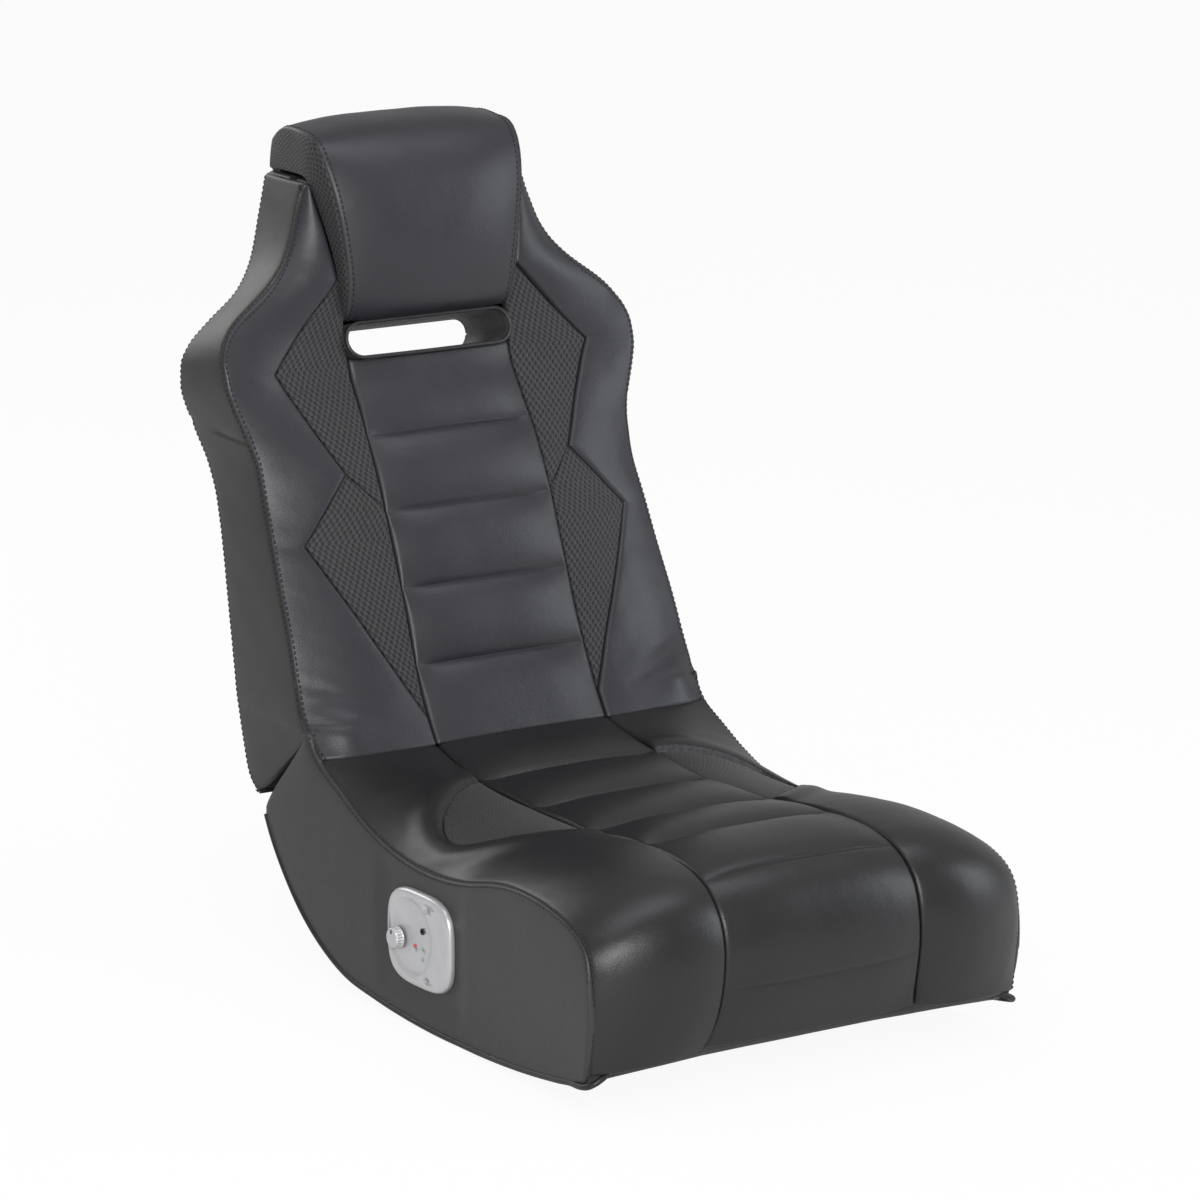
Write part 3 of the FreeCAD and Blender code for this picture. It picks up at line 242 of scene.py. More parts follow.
def closed_grid(name, front, back, finish, hole=None):
    """A closed skin from a front grid and a back grid of the same shape, open in the cells that hole marks."""
    n, m = front.shape[:2]
    verts = np.concatenate([front.reshape(-1, 3), back.reshape(-1, 3)])
    uv = sheet_uv(front)
    faces = []
    count = n * m
    for i in range(n - 1):
        for j in range(m - 1):
            a, b, c, d = i * m + j, i * m + j + 1, (i + 1) * m + j + 1, (i + 1) * m + j
            if hole is None or not hole[i, j]:
                faces.append((a, b, c, d))
                faces.append((count + d, count + c, count + b, count + a))
                continue
            beside = ((i - 1, j), (i, j + 1), (i + 1, j), (i, j - 1))
            for p, q, cell in zip((a, b, c, d), (b, c, d, a), beside):
                if not hole[cell]:
                    faces.append((p, q, count + q, count + p))
    for i in range(n - 1):
        for j in (0, m - 1):
            a, d = i * m + j, (i + 1) * m + j
            faces.append((a, d, count + d, count + a) if j == 0 else (d, a, count + a, count + d))
    for j in range(m - 1):
        for i in (0, n - 1):
            a, b = i * m + j, i * m + j + 1
            faces.append((b, a, count + a, count + b) if i == 0 else (a, b, count + b, count + a))
    return fix_normals(new_object(name, to_row(verts), faces, finish, np.concatenate([uv, uv])))


def flare(points):
    """The seat widens a little and its corners reach forward towards the front."""
    wider, forward = 13.0, 19.0
    points = np.array(points, float)
    ahead = np.clip((-points[..., 1] - 235) / 200.0, 0, 1.1) ** 1.2
    outward = np.clip((np.abs(points[..., 0]) - 93) / 119.0, 0, 1.05) ** 1.4
    points[..., 0] += np.sign(points[..., 0]) * wider * ahead * outward
    points[..., 1] -= forward * ahead * outward
    return points


def upholster(name, base, out, finish, crown=0.0, puff=None, radius=3.6, thick=14.0, ripple=0.0, seed=0, hole=None):
    """A stuffed piece over a base grid, with its edges turned into their seams. Returns it, its skin and normals."""
    base = flare(base)
    normal = grid_normals(base, out)
    sides = edge_distances(base)
    lift = np.zeros(base.shape[:2])
    if crown:
        across = 4 * sides[2] * sides[3] / np.maximum((sides[2] + sides[3]) ** 2, 1e-6)
        lift += crown * np.sqrt(np.clip(across, 0, 1))
    if puff is not None:
        lift += puff
    if ripple:
        lift += ripple * soft_noise(base, seed)
    for distance in sides:
        lift -= tuck(distance, radius)
    skin = base + normal * lift[..., None]
    return closed_grid(name, skin, base - normal * thick, finish, hole), skin, normal


def soft_noise(grid, seed):
    """Slow unevenness of stretched leather, between about -1 and 1."""
    rng = np.random.default_rng(seed + 11)
    total = np.zeros(grid.shape[:2])
    for size in (38.0, 61.0, 97.0, 23.0):
        direction = rng.normal(size=3)
        direction /= np.linalg.norm(direction)
        total += np.sin((grid @ direction) * 2 * math.pi / size + rng.uniform(0, 6.28)) * size / 97.0
    return total / 2.2


def ring_faces(count, sides, closed=False):
    """Faces between rings of points, capped at both ends or closed on themselves."""
    faces = []
    for i in range(count if closed else count - 1):
        here, there = i * sides, (i + 1) % count * sides
        for k in range(sides):
            after = (k + 1) % sides
            faces.append((here + k, here + after, there + after, there + k))
    if not closed:
        faces.append(tuple(range(sides))[::-1])
        faces.append(tuple((count - 1) * sides + k for k in range(sides)))
    return faces


def loft_rings(name, rings, finish, closed=False, uvs=None):
    """A skin through rings with the same number of points, capped at both ends or closed on itself."""
    rings = np.asarray(rings, float)
    count, sides = rings.shape[:2]
    if uvs is None:
        ring_steps = np.linalg.norm(np.diff(rings, axis=0), axis=2).mean(1)
        u = np.concatenate([[0], np.cumsum(ring_steps)])
        around = np.linalg.norm(rings - np.roll(rings, 1, axis=1), axis=2)
        around[:, 0] = 0
        v = np.cumsum(around, axis=1)
        uvs = np.stack([np.repeat(u[:, None], sides, axis=1), v], axis=-1).reshape(-1, 2) / 1000
    faces = ring_faces(count, sides, closed)
    return fix_normals(new_object(name, to_row(rings.reshape(-1, 3)), faces, finish, uvs))


def tube_mesh(name, path, radius, finish, closed=False, sides=10):
    """A round cord of that radius along points in millimetres."""
    path = flare(path)
    if closed:
        tangent = unit(np.roll(path, -1, axis=0) - np.roll(path, 1, axis=0))
    else:
        tangent = unit(np.gradient(path, axis=0))
    up = np.array([1.0, 0.02, 0.03])
    if abs(np.mean(np.abs(tangent @ unit(up)))) > 0.75:
        up = np.array([0.03, 0.02, 1.0])
    side = unit(np.cross(tangent, up))
    top = np.cross(side, tangent)
    turns = [2 * math.pi * k / sides for k in range(sides)]
    rings = np.stack([path + radius * (math.cos(turn) * side + math.sin(turn) * top) for turn in turns], axis=1)
    uvs = np.stack([np.repeat(lengths_along(path) / 1000, sides),
                    np.tile(np.arange(sides) / sides * 0.01, len(path))], axis=1)
    return loft_rings(name, rings, finish, closed, uvs)


def resample(values, length, count):
    """That many rows of values, evenly spread over the lengths they lie at."""
    marks = np.linspace(0, length[-1], count)
    return np.stack([np.interp(marks, length, np.asarray(values, float)[:, k]) for k in range(3)], axis=1)


def stitch_row(name, lines, finish, pitch=5.2, long=4.0, wide=1.0, high=0.6):
    """Rows of single stitches. Each line is (points, outward normals)."""
    ring = 6
    turns = [2 * math.pi * k / ring for k in range(ring)]
    profile = [(-0.5, 0.25), (-0.34, 0.85), (0.0, 1.0), (0.34, 0.85), (0.5, 0.25)]
    pattern = ring_faces(len(profile), ring)
    verts, faces, uvs = [], [], []
    for path, normals in lines:
        length = lengths_along(path)
        count = max(2, int(round(length[-1] / pitch)) + 1)
        centres = resample(path, length, count)
        normal = unit(resample(normals, length, count))
        tangent = unit(np.gradient(centres, axis=0))
        side = np.cross(normal, tangent)
        for p, t, n, s in zip(centres[:-1], tangent, normal, side):
            faces += [tuple(len(verts) + k for k in face) for face in pattern]
            for along, size in profile:
                sunk = 0.12 * size - 0.35 * (1 - size)
                for k, turn in enumerate(turns):
                    verts.append(p + t * (along * long) + s * (wide * size * math.cos(turn))
                                 + n * (high * size * math.sin(turn) + sunk))
                    uvs.append((along * 0.003, k / ring * 0.002))
    return new_object(name, to_row(verts), faces, finish, uvs)


def inset_line(skin, normal, side, distance):
    """Points of a skin at a distance from its first (2) or last (3) column, and their normals."""
    points, normals = [], []
    for away, place, out in zip(edge_distances(skin)[side], skin, normal):
        if away.max() < distance * 1.2:
            continue
        order = np.argsort(away)
        points.append([np.interp(distance, away[order], place[order, k]) for k in range(3)])
        normals.append([np.interp(distance, away[order], out[order, k]) for k in range(3)])
    return np.array(points), np.array(normals)


def mirrored(points):
    return np.asarray(points, float) * np.array([-1.0, 1.0, 1.0])


def on_side(points, sign):
    return points if sign > 0 else mirrored(points)


# ---------------------------------------------------------------- materials

def new_material(name):
    item = bpy.data.materials.new(name)
    item.use_nodes = True
    tree = item.node_tree
    return item, tree, tree.nodes["Principled BSDF"]


def node(tree, kind, **settings):
    item = tree.nodes.new(kind)
    for key, value in settings.items():
        if key in item.inputs.keys():
            item.inputs[key].default_value = value
        else:
            setattr(item, key, value)
    return item


def math_node(tree, operation, first, second=None):
    item = tree.nodes.new("ShaderNodeMath")
    item.operation = operation
    for index, value in enumerate((first, second)):
        if value is None:
            continue
        if isinstance(value, (int, float)):
            item.inputs[index].default_value = value
        else:
            tree.links.new(value, item.inputs[index])
    return item.outputs[0]


def ramp(tree, factor, stops):
    item = tree.nodes.new("ShaderNodeValToRGB")
    tree.links.new(factor, item.inputs["Fac"])
    item.color_ramp.elements[0].position = stops[0][0]
    item.color_ramp.elements[0].color = (*stops[0][1], 1)
    item.color_ramp.elements[1].position = stops[-1][0]
    item.color_ramp.elements[1].color = (*stops[-1][1], 1)
    for place, colour in stops[1:-1]:
        item.color_ramp.elements.new(place).color = (*colour, 1)
    return item.outputs["Color"]


def noise(tree, place, scale, detail=2.0, **more):
    item = node(tree, "ShaderNodeTexNoise", Scale=scale, Detail=detail, **more)
    tree.links.new(place, item.inputs["Vector"])
    return item.outputs["Fac"]


def scaled(tree, value, factor):
    return math_node(tree, "MULTIPLY", value, factor)


def weighted(tree, first, share, second, rest):
    return math_node(tree, "ADD", scaled(tree, first, share), scaled(tree, second, rest))


def span(tree, value, low, high):
    item = node(tree, "ShaderNodeMapRange")
    item.inputs["To Min"].default_value = low
    item.inputs["To Max"].default_value = high
    tree.links.new(value, item.inputs["Value"])
    return item.outputs["Result"]


def bumped(tree, height, strength, distance, under=None):
    item = node(tree, "ShaderNodeBump", Strength=strength, Distance=distance)
    tree.links.new(height, item.inputs["Height"])
    if under is not None:
        tree.links.new(under, item.inputs["Normal"])
    return item.outputs["Normal"]


def object_place(tree):
    return node(tree, "ShaderNodeTexCoord").outputs["Object"]


def leather(name, dark, light, rough=(0.36, 0.5), grain=0.22):
    item, tree, shader = new_material(name)
    link = tree.links.new
    place = object_place(tree)
    voronoi = node(tree, "ShaderNodeTexVoronoi", Scale=820.0)
    link(place, voronoi.inputs["Vector"])
    cells = voronoi.outputs["Distance"]
    cloud = noise(tree, place, 9.0, 4.0, Roughness=0.6)
    link(ramp(tree, cloud, [(0.3, dark), (0.7, light)]), shader.inputs["Base Color"])
    link(span(tree, weighted(tree, cells, 0.45, cloud, 0.6), *rough), shader.inputs["Roughness"])
    fine = bumped(tree, weighted(tree, cells, 0.8, noise(tree, place, 1500.0), 0.4), grain, 0.0005)
    folds = noise(tree, place, 38.0, 3.0, Roughness=0.55)
    link(bumped(tree, folds, 0.12, 0.004, fine), shader.inputs["Normal"])
    return item


def net(name, across, along, thread, turn=0.0, depth=0.0012, opening=0.25):
    """Spacer mesh: staggered holes between threads, laid out on the piece's own surface lengths."""
    item, tree, shader = new_material(name)
    link = tree.links.new
    spin = node(tree, "ShaderNodeMapping")
    spin.inputs["Rotation"].default_value[2] = turn
    link(node(tree, "ShaderNodeTexCoord").outputs["UV"], spin.inputs["Vector"])
    split = node(tree, "ShaderNodeSeparateXYZ")
    link(spin.outputs["Vector"], split.inputs[0])
    waves = [math_node(tree, "COSINE", scaled(tree, split.outputs[axis], 2 * math.pi / pitch))
             for axis, pitch in (("X", along), ("Y", across))]
    holes = node(tree, "ShaderNodeMapRange", interpolation_type="SMOOTHSTEP")
    holes.inputs["From Min"].default_value = opening - 0.22
    holes.inputs["From Max"].default_value = opening + 0.22
    link(math_node(tree, "MULTIPLY", *waves), holes.inputs["Value"])
    place = object_place(tree)
    yarn = noise(tree, place, 1400.0)
    lit = ramp(tree, weighted(tree, yarn, 0.7, noise(tree, place, 30.0), 0.3),
               [(0.3, tuple(0.6 * c for c in thread)), (0.7, thread)])
    mix = node(tree, "ShaderNodeMix", data_type="RGBA")
    link(holes.outputs["Result"], mix.inputs[0])
    link(lit, mix.inputs[6])
    # The holes are painted near-black: the dark layer beneath them, deepened by painted shade inside the openings.
    mix.inputs[7].default_value = (0.001, 0.001, 0.001, 1)
    link(mix.outputs[2], shader.inputs["Base Color"])
    shader.inputs["Roughness"].default_value = 0.62
    shader.inputs["Sheen Weight"].default_value = 0.1
    height = math_node(tree, "SUBTRACT", scaled(tree, yarn, 0.25), holes.outputs["Result"])
    link(bumped(tree, height, 0.9, depth), shader.inputs["Normal"])
    return item


def plain(name, dark, light, rough=0.5, metallic=0.0, grain=600.0, bump=0.15, depth=0.0004, specular=0.5,
          coat=0.0):
    item, tree, shader = new_material(name)
    link = tree.links.new
    place = object_place(tree)
    fine = noise(tree, place, grain, 3.0)
    cloud = noise(tree, place, grain / 40, 3.0)
    link(ramp(tree, cloud, [(0.3, dark), (0.7, light)]), shader.inputs["Base Color"])
    link(span(tree, fine, rough - 0.06, rough + 0.08), shader.inputs["Roughness"])
    link(bumped(tree, fine, bump, depth), shader.inputs["Normal"])
    shader.inputs["Metallic"].default_value = metallic
    shader.inputs["Specular IOR Level"].default_value = specular
    shader.inputs["Coat Weight"].default_value = coat
    return item


def wood(name):
    item, tree, shader = new_material(name)
    link = tree.links.new
    stretch = node(tree, "ShaderNodeMapping")
    stretch.inputs["Scale"].default_value = (60.0, 9.0, 60.0)
    link(object_place(tree), stretch.inputs["Vector"])
    fibre = noise(tree, stretch.outputs["Vector"], 3.0, 6.0, Distortion=0.8)
    stops = [(0.3, (0.30, 0.17, 0.08)), (0.5, (0.45, 0.29, 0.15)), (0.7, (0.56, 0.40, 0.23))]
    link(ramp(tree, fibre, stops), shader.inputs["Base Color"])
    shader.inputs["Roughness"].default_value = 0.62
    link(bumped(tree, fibre, 0.25, 0.0006), shader.inputs["Normal"])
    return item


# The same black leather in three copies with painted light and shade: the backrest's copy is painted lighter and
# bluish as if lit, the seat's is painted darker as if in shade, and the sides' lies between them with a warm tint as
# if half lit.
BACK_LEATHER_PAINTED_LIT = leather("leather_back_painted_lit", (0.0170, 0.0170, 0.0215), (0.0225, 0.0225, 0.0280), rough=(0.33, 0.45))
SEAT_LEATHER_PAINTED_SHADE = leather("leather_seat_painted_shade", (0.0075, 0.0075, 0.0082), (0.0105, 0.0105, 0.0115), rough=(0.32, 0.42))
SIDE_LEATHER_PAINTED_HALF_LIGHT = leather("leather_side_painted_half_light", (0.0230, 0.0220, 0.0215), (0.0290, 0.0280, 0.0270), rough=(0.42, 0.56))
THREAD = plain("thread_black", (0.004, 0.004, 0.005), (0.010, 0.010, 0.012), rough=0.55, grain=2500.0, bump=0.4)
# The nets' thread carries painted light and shade too: lighter and bluish on the backrest, headrest and slot, as if
# lit, and darker on the seat, as if in shade.
BACK_NET_PAINTED_LIT = net("mesh_back_painted_lit", 0.0062, 0.0088, (0.034, 0.034, 0.038), opening=0.15)
SEAT_NET_PAINTED_SHADE = net("mesh_seat_painted_shade", 0.0042, 0.0060, (0.015, 0.015, 0.016), turn=0.2)
GUSSET_NET_PAINTED_LIT = net("mesh_gusset_painted_lit", 0.0052, 0.0062, (0.030, 0.030, 0.033), opening=0.15)
SLOT_NET_PAINTED_LIT = net("mesh_slot_painted_lit", 0.0042, 0.0050, (0.032, 0.032, 0.034), depth=0.0008)
BINDING = leather("binding_black", (0.006, 0.006, 0.0065), (0.010, 0.010, 0.011), grain=0.3)
TRIM_EDGE = leather("slot_piping", (0.014, 0.014, 0.016), (0.022, 0.022, 0.025), rough=(0.3, 0.4))
FELT = plain("nonwoven_black", (0.006, 0.006, 0.006), (0.012, 0.012, 0.012), rough=0.85, grain=900.0, bump=0.7,
             depth=0.0008, specular=0.2)
SILVER = plain("silver_satin", (0.50, 0.50, 0.51), (0.56, 0.56, 0.57), rough=0.34, metallic=0.55, grain=1800.0,
               bump=0.04)
STEEL = plain("zinc_steel", (0.42, 0.42, 0.42), (0.55, 0.55, 0.54), rough=0.36, metallic=1.0, grain=500.0,
              bump=0.1)
PLASTIC = plain("plastic_black", (0.010, 0.010, 0.010), (0.016, 0.016, 0.016), rough=0.5, grain=900.0)
RUBBER = plain("rubber_black", (0.008, 0.008, 0.008), (0.014, 0.014, 0.014), rough=0.75, grain=700.0, bump=0.3)
BOARD = plain("circuit_green", (0.01, 0.08, 0.03), (0.015, 0.11, 0.04), rough=0.4, grain=400.0)
PAPER = plain("speaker_cone", (0.020, 0.020, 0.020), (0.030, 0.030, 0.030), rough=0.8, grain=500.0, bump=0.5)
PLYWOOD = wood("plywood")
RED = plain("lens_red", (0.55, 0.02, 0.05), (0.75, 0.03, 0.07), rough=0.18, grain=1500.0, bump=0.03, coat=0.6)
GREEN = plain("lens_green", (0.22, 0.38, 0.26), (0.28, 0.46, 0.32), rough=0.2, grain=1500.0, bump=0.03, coat=0.6)


# ---------------------------------------------------------------- lines of the seat

SEAT_SEAM = [(93, -12, 209), (95, -50, 199), (96, -89, 193), (94, -130, 189), (93, -173, 187), (95, -220, 187),
             (97, -267, 188), (98, -312, 192), (98, -357, 196), (100, -414, 194), (101, -451, 185),
             (102, -476, 165), (102, -487, 138), (103, -488, 108), (104, -483, 80), (107, -475, 57), (112, -466, 41)]
SEAT_WELT = [(211, 0, 209), (211.5, -38, 188), (212, -78, 168), (212, -118, 155), (212, -158, 148),
             (212, -204, 147), (212, -250, 153), (212, -300, 165), (212, -344, 169), (212, -390, 165),
             (212, -420, 157), (212, -439, 143), (212, -446, 124), (212, -448, 102), (212, -447, 78),
             (212, -445, 56), (212, -443, 35)]
seat_pair = spline(np.hstack([np.array(SEAT_SEAM, float), np.array(SEAT_WELT, float)]))
seat_t = np.linspace(0, 1, 1200)
seat_dense = seat_pair(seat_t)[:, :3]
seat_run = lengths_along(seat_dense)


def seat_rows(runs):
    """Centre seam and outer welt at distances along the seam, from the crease."""
    values = seat_pair(np.interp(runs, seat_run, seat_t))
    return values[:, :3], values[:, 3:]


def run_at(y, z=None):
    """Distance along the seat's seam of the point nearest to y, and to z where the seam turns down."""
    gap = np.abs(seat_dense[:, 1] - y) if z is None else np.hypot(seat_dense[:, 1] - y, seat_dense[:, 2] - z)
    return float(seat_run[int(np.argmin(gap))])


SEAT_END = float(seat_run[-1])
CHANNEL_RUNS = [run_at(-89), run_at(-173), run_at(-267), run_at(-357)]
ROLL_RUN = run_at(-451, 185)
LOW_RUN = run_at(-486, 98)


def valley(distance, depth, width):
    """Depth of a sewn channel: a sharp groove between soft shoulders."""
    return depth * np.exp(-np.abs(distance) / width) + 0.25 * depth * np.exp(-(distance / (2.6 * width)) ** 2)


def across_mask(share, power):
    """1 along the middle of a row and 0 at both ends."""
    return 1 - np.abs(2 * share - 1) ** power


def rocker_z(y):
    """Height of the rocker's curved underside."""
    return ROCKER_RADIUS - np.sqrt(ROCKER_RADIUS ** 2 - (y - ROCKER_Y) ** 2)


base_points = [(y, float(rocker_z(y))) for y in np.linspace(-438, -55, 14)]
base_points += [(-12.0, 27.3), (31.0, 54.5), (68.0, 92.0), (88.0, 120.0), (97.0, 137.0)]


# ---------------------------------------------------------------- seat cushions

def make_seat_center():
    """Middle panel of the seat with its sewn channels, down over the front."""
    runs = stations(SEAT_END, 9.0, CHANNEL_RUNS + [ROLL_RUN, LOW_RUN])
    seam, _ = seat_rows(runs)
    base, share = rows_between(mirrored(seam), seam, 26)
    crown = 9.0 * across_mask(share, 3.4)
    fade = np.clip(across_mask(share, 7.0), 0, 1)
    run = runs[:, None]
    for line, depth in zip(CHANNEL_RUNS, (7.5, 8.5, 8.5, 7.5)):
        crown = crown - valley(run - line, depth, 10.0) * fade
    crown = crown - valley(run - ROLL_RUN, 2.6, 3.5) * fade - valley(run - LOW_RUN, 1.8, 3.0) * fade
    # The front ends stay flat towards the bottom edge.
    crown = crown * (1 - 0.6 * np.clip((run - LOW_RUN) / (SEAT_END - LOW_RUN), 0, 1))
    crown = crown * np.clip(0.35 + run / 60.0, 0, 1)
    item, skin, normal = upholster("seat_center", base, (0, -0.3, 1), SEAT_LEATHER_PAINTED_SHADE, puff=crown, thick=18.0,
                                   ripple=0.45, seed=1)
    lines = []
    for line in CHANNEL_RUNS + [ROLL_RUN]:
        i = int(np.argmin(np.abs(runs - line)))
        lines.append((skin[i, 7:-7], normal[i, 7:-7]))
    thread = stitch_row("seat_center_stitches", lines, THREAD)
    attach(item, "seat")
    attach(thread, "seat")
    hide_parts("seat_center_cushion")


MOON = [(98, -91), (112, -96), (125, -103), (147, -119), (164, -136), (175, -155), (180, -174), (178, -193),
        (169, -211), (155, -230), (137, -250), (118, -264), (98, -272)]
moon_curve = spline(np.array(MOON, float))
moon_line = moon_curve(np.linspace(0, 1, 240))


def moon_gap(x, y):
    """Distance to the half-moon's curved edge, positive inside it."""
    flat = np.stack([np.ravel(x), np.ravel(y)], axis=1)
    gap = np.sqrt(((flat[:, None, :] - moon_line[None]) ** 2).sum(2)).min(1)
    order = np.argsort(moon_line[:, 1])
    edge = np.interp(flat[:, 1], moon_line[order, 1], moon_line[order, 0], left=-1, right=-1)
    gap = np.where(flat[:, 0] < edge, gap, -gap)
    return gap.reshape(np.shape(x))


def bolster_base(seam, welt, share):
    """A surface that leaves the seam level and falls to the welt."""
    x = seam[:, None, 0] + (welt - seam)[:, None, 0] * share
    late = share ** 2.0
    yz = seam[:, None, 1:] + (welt - seam)[:, None, 1:] * late[..., None]
    return np.concatenate([x[..., None], yz], axis=-1)


def top_height(x, y):
    """Height of the bolster's base surface over points of the half-moon."""
    low, high = np.zeros_like(x), np.full_like(x, 0.75)
    for _ in range(36):
        middle = (low + high) / 2
        value = seat_pair(middle.ravel())
        seam, welt = value[:, :3], value[:, 3:]
        share = np.clip((x.ravel() - seam[:, 0]) / (welt[:, 0] - seam[:, 0]), 0, 1)
        reached = seam[:, 1] + (welt[:, 1] - seam[:, 1]) * share ** 2
        before = (reached > y.ravel()).reshape(x.shape)
        low = np.where(before, middle, low)
        high = np.where(before, high, middle)
    return (seam[:, 2] + (welt[:, 2] - seam[:, 2]) * share ** 2).reshape(x.shape)


def bolster_crown(share, run):
    """Swell of the bolster's padding, less of it near the crease."""
    body = 6.0 * np.sin(math.pi * np.clip(share, 0, 1)) ** 0.8
    return body * np.clip(0.3 + run / 90.0, 0, 1)


def make_bolster(word, sign):
    """Side bolster of the seat, sunk round the half-moon of mesh."""
    runs = stations(SEAT_END, 4.2)
    seam, welt = seat_rows(runs)
    share = np.array([shares(w, 44) for w in np.linalg.norm(welt - seam, axis=1)])
    base = bolster_base(seam, welt, share)
    lift = bolster_crown(share, runs[:, None])
    gap = moon_gap(base[..., 0], base[..., 1])
    top = runs[:, None] < run_at(-330)
    # The leather turns down round the mesh, and swells a little before it.
    dip = np.where(gap > 0, 7.5, tuck(-gap, 5.0) * 1.25) - 2.4 * np.exp(-((-gap - 16.0) / 11.0) ** 2) * (gap <= 0)
    lift = lift - np.where(top, dip, 0)
    base = on_side(base, sign)
    item, skin, normal = upholster("seat_bolster_pad_" + word, base, (0.2 * sign, -0.2, 1), SEAT_LEATHER_PAINTED_SHADE, puff=lift,
                                   thick=20.0, ripple=0.5, seed=3 if sign > 0 else 4)
    lines = [inset_line(skin, normal, 3, 4.6)]
    # Stitching round the half-moon.
    ring = moon_curve(np.linspace(0.02, 0.98, 120))
    tangent = unit(np.gradient(ring, axis=0))
    outward = np.stack([-tangent[:, 1], tangent[:, 0]], axis=1)
    outward *= np.sign((outward * (ring - np.array([98, -180]))).sum(1).mean())
    spot = ring + outward * 4.2
    height = top_height(spot[:, 0], spot[:, 1])
    share_at = (spot[:, 0] - 96) / 116.0
    lifted = height + bolster_crown(share_at, np.interp(-spot[:, 1], [12, 270], [0, 260])) - 0.2
    loop = np.stack([spot[:, 0] * sign, spot[:, 1], lifted], axis=1)
    lines.append((loop, np.tile([0.0, 0.0, 1.0], (len(loop), 1))))
    thread = stitch_row("seat_bolster_stitches_" + word, lines, THREAD)
    for piece in (item, thread):
        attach(piece, "seat")
    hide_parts("seat_bolster_" + word)
    make_mesh_pad(word, sign)


def make_mesh_pad(word, sign):
    """Half-moon of spacer mesh in the bolster."""
    y = -92.0 - stations(178.0, 6.0)
    order = np.argsort(moon_line[:, 1])
    edge = np.interp(y, moon_line[order, 1], moon_line[order, 0])
    seam_x = np.interp(-y, [12, 89, 173, 267], [93, 96, 93, 97]) + 0.3
    a = np.stack([seam_x, y], axis=1)
    b = np.stack([np.maximum(edge, seam_x + 0.6), y], axis=1)
    width = np.abs(b[:, 0] - a[:, 0])
    share = np.array([shares(w, 18) for w in width])
    x = a[:, None, 0] + (b - a)[:, None, 0] * share
    yy = np.repeat(y[:, None], share.shape[1], axis=1)
    z = top_height(x, yy) - 3.4
    run = np.interp(-yy, [12, 89, 173, 267], [0] + CHANNEL_RUNS[:3])
    z = z + bolster_crown((x - seam_x[:, None]) / (212 - seam_x[:, None]), run) * 0.8
    base = np.stack([x * sign, yy, z], axis=-1)
    pad, _, _ = upholster("seat_mesh_pad_" + word, base, (0, 0, 1), SEAT_NET_PAINTED_SHADE, crown=1.6, radius=2.2, thick=9.0)
    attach(pad, "seat")
    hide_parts("seat_mesh_" + word)


def make_seat_side(word, sign):
    """Side cover of the seat, from the crease round the rocker to the front."""
    apex = (14.0, 233.0)
    top = [apex, (9, 219), (-2, 207), (-22, 195.5), (-50, 181)] + [p[1:] for p in SEAT_WELT[2:13]]
    bottom = [apex, (36, 210), (60, 186), (80, 166), (91, 153), (97.5, 141)]
    bottom += [(y, z + 2.6) for y, z in base_points[::-1][1:]]
    length = 560.0
    runs = stations(length, 6.0) / length
    a, b = (spline([(SEAT_X, *p) for p in line])(runs) for line in (top, bottom))
    base, share = rows_between(a, b, 30)
    # The front edge bows forward between its two ends.
    late = np.clip((runs[:, None] - 0.8) / 0.2, 0, 1) ** 2
    base[..., 1] -= 7.0 * late * 4 * share * (1 - share) * np.where(share < 0.5, 1.0, 0.9)
    lift = 3.6 * dome(share)
    if sign < 0:
        # The cover lies flat round the control panel.
        panel = np.maximum(np.abs(base[..., 1] - PANEL_Y) - 53.0, np.abs(base[..., 2] - PANEL_Z) - 45.0)
        lift = lift * np.clip(panel / 22.0, 0, 1) ** 1.5 + 1.4
    base = base - np.array([1.2, 0, 0])
    base = on_side(base, sign)
    item, skin, normal = upholster("seat_side_skin_" + word, base, (sign, 0, 0), SIDE_LEATHER_PAINTED_HALF_LIGHT, puff=lift, thick=5.0,
                                   ripple=0.35, seed=5 if sign > 0 else 6)
    thread = stitch_row("seat_side_stitches_" + word, [inset_line(skin, normal, 2, 4.6)], THREAD)
    for piece in (item, thread):
        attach(piece, "seat")
    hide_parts("seat_side_cover_" + word)


def across_rows(points, half, middle):
    """A grid that spans from a row of points half a width to both sides."""
    reach = np.array([half, 0, 0])
    return rows_between(points - reach, points + reach, middle)


def make_seat_rear():
    """Rear cover: down the mitre, round the heel and under it."""
    line = spline([(0, 25, 217), (0, 50, 194), (0, 74, 170), (0, 88, 154), (0, 95.5, 137), (0, 90, 121), (0, 67, 89),
                   (0, 50, 68)])
    base, _ = across_rows(line(stations(line.length, 8.0) / line.length), COVER_HALF, 30)
    item, _, _ = upholster("seat_rear_skin", base, (0, 0.8, 0.2), FELT, crown=1.2, radius=2.0, thick=4.0, ripple=0.3,
                           seed=8)
    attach(item, "seat")
    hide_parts("seat_rear_cover")


def make_turn_under():
    """The leather of the front turns under and is tacked below the boards."""
    line = spline([(0, -466, 49), (0, -462, 40), (0, -452, 31), (0, -438, 25), (0, -422, 22)])
    base, _ = across_rows(line(stations(line.length, 7.0) / line.length), 211, 40)
    # It keeps behind the rounded front corners.
    outer = np.clip((np.abs(base[..., 0]) - 110) / 96.0, 0, 1)
    base[..., 1] += 24.0 * outer ** 1.3 * np.clip((base[..., 2] - 20) / 20.0, 0, 1)
    under, _, _ = upholster("front_turn_under", base, (0, -0.5, -0.8), SEAT_LEATHER_PAINTED_SHADE, radius=2.0, thick=2.0,
                            ripple=0.3, seed=9)
    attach(under, "seat")


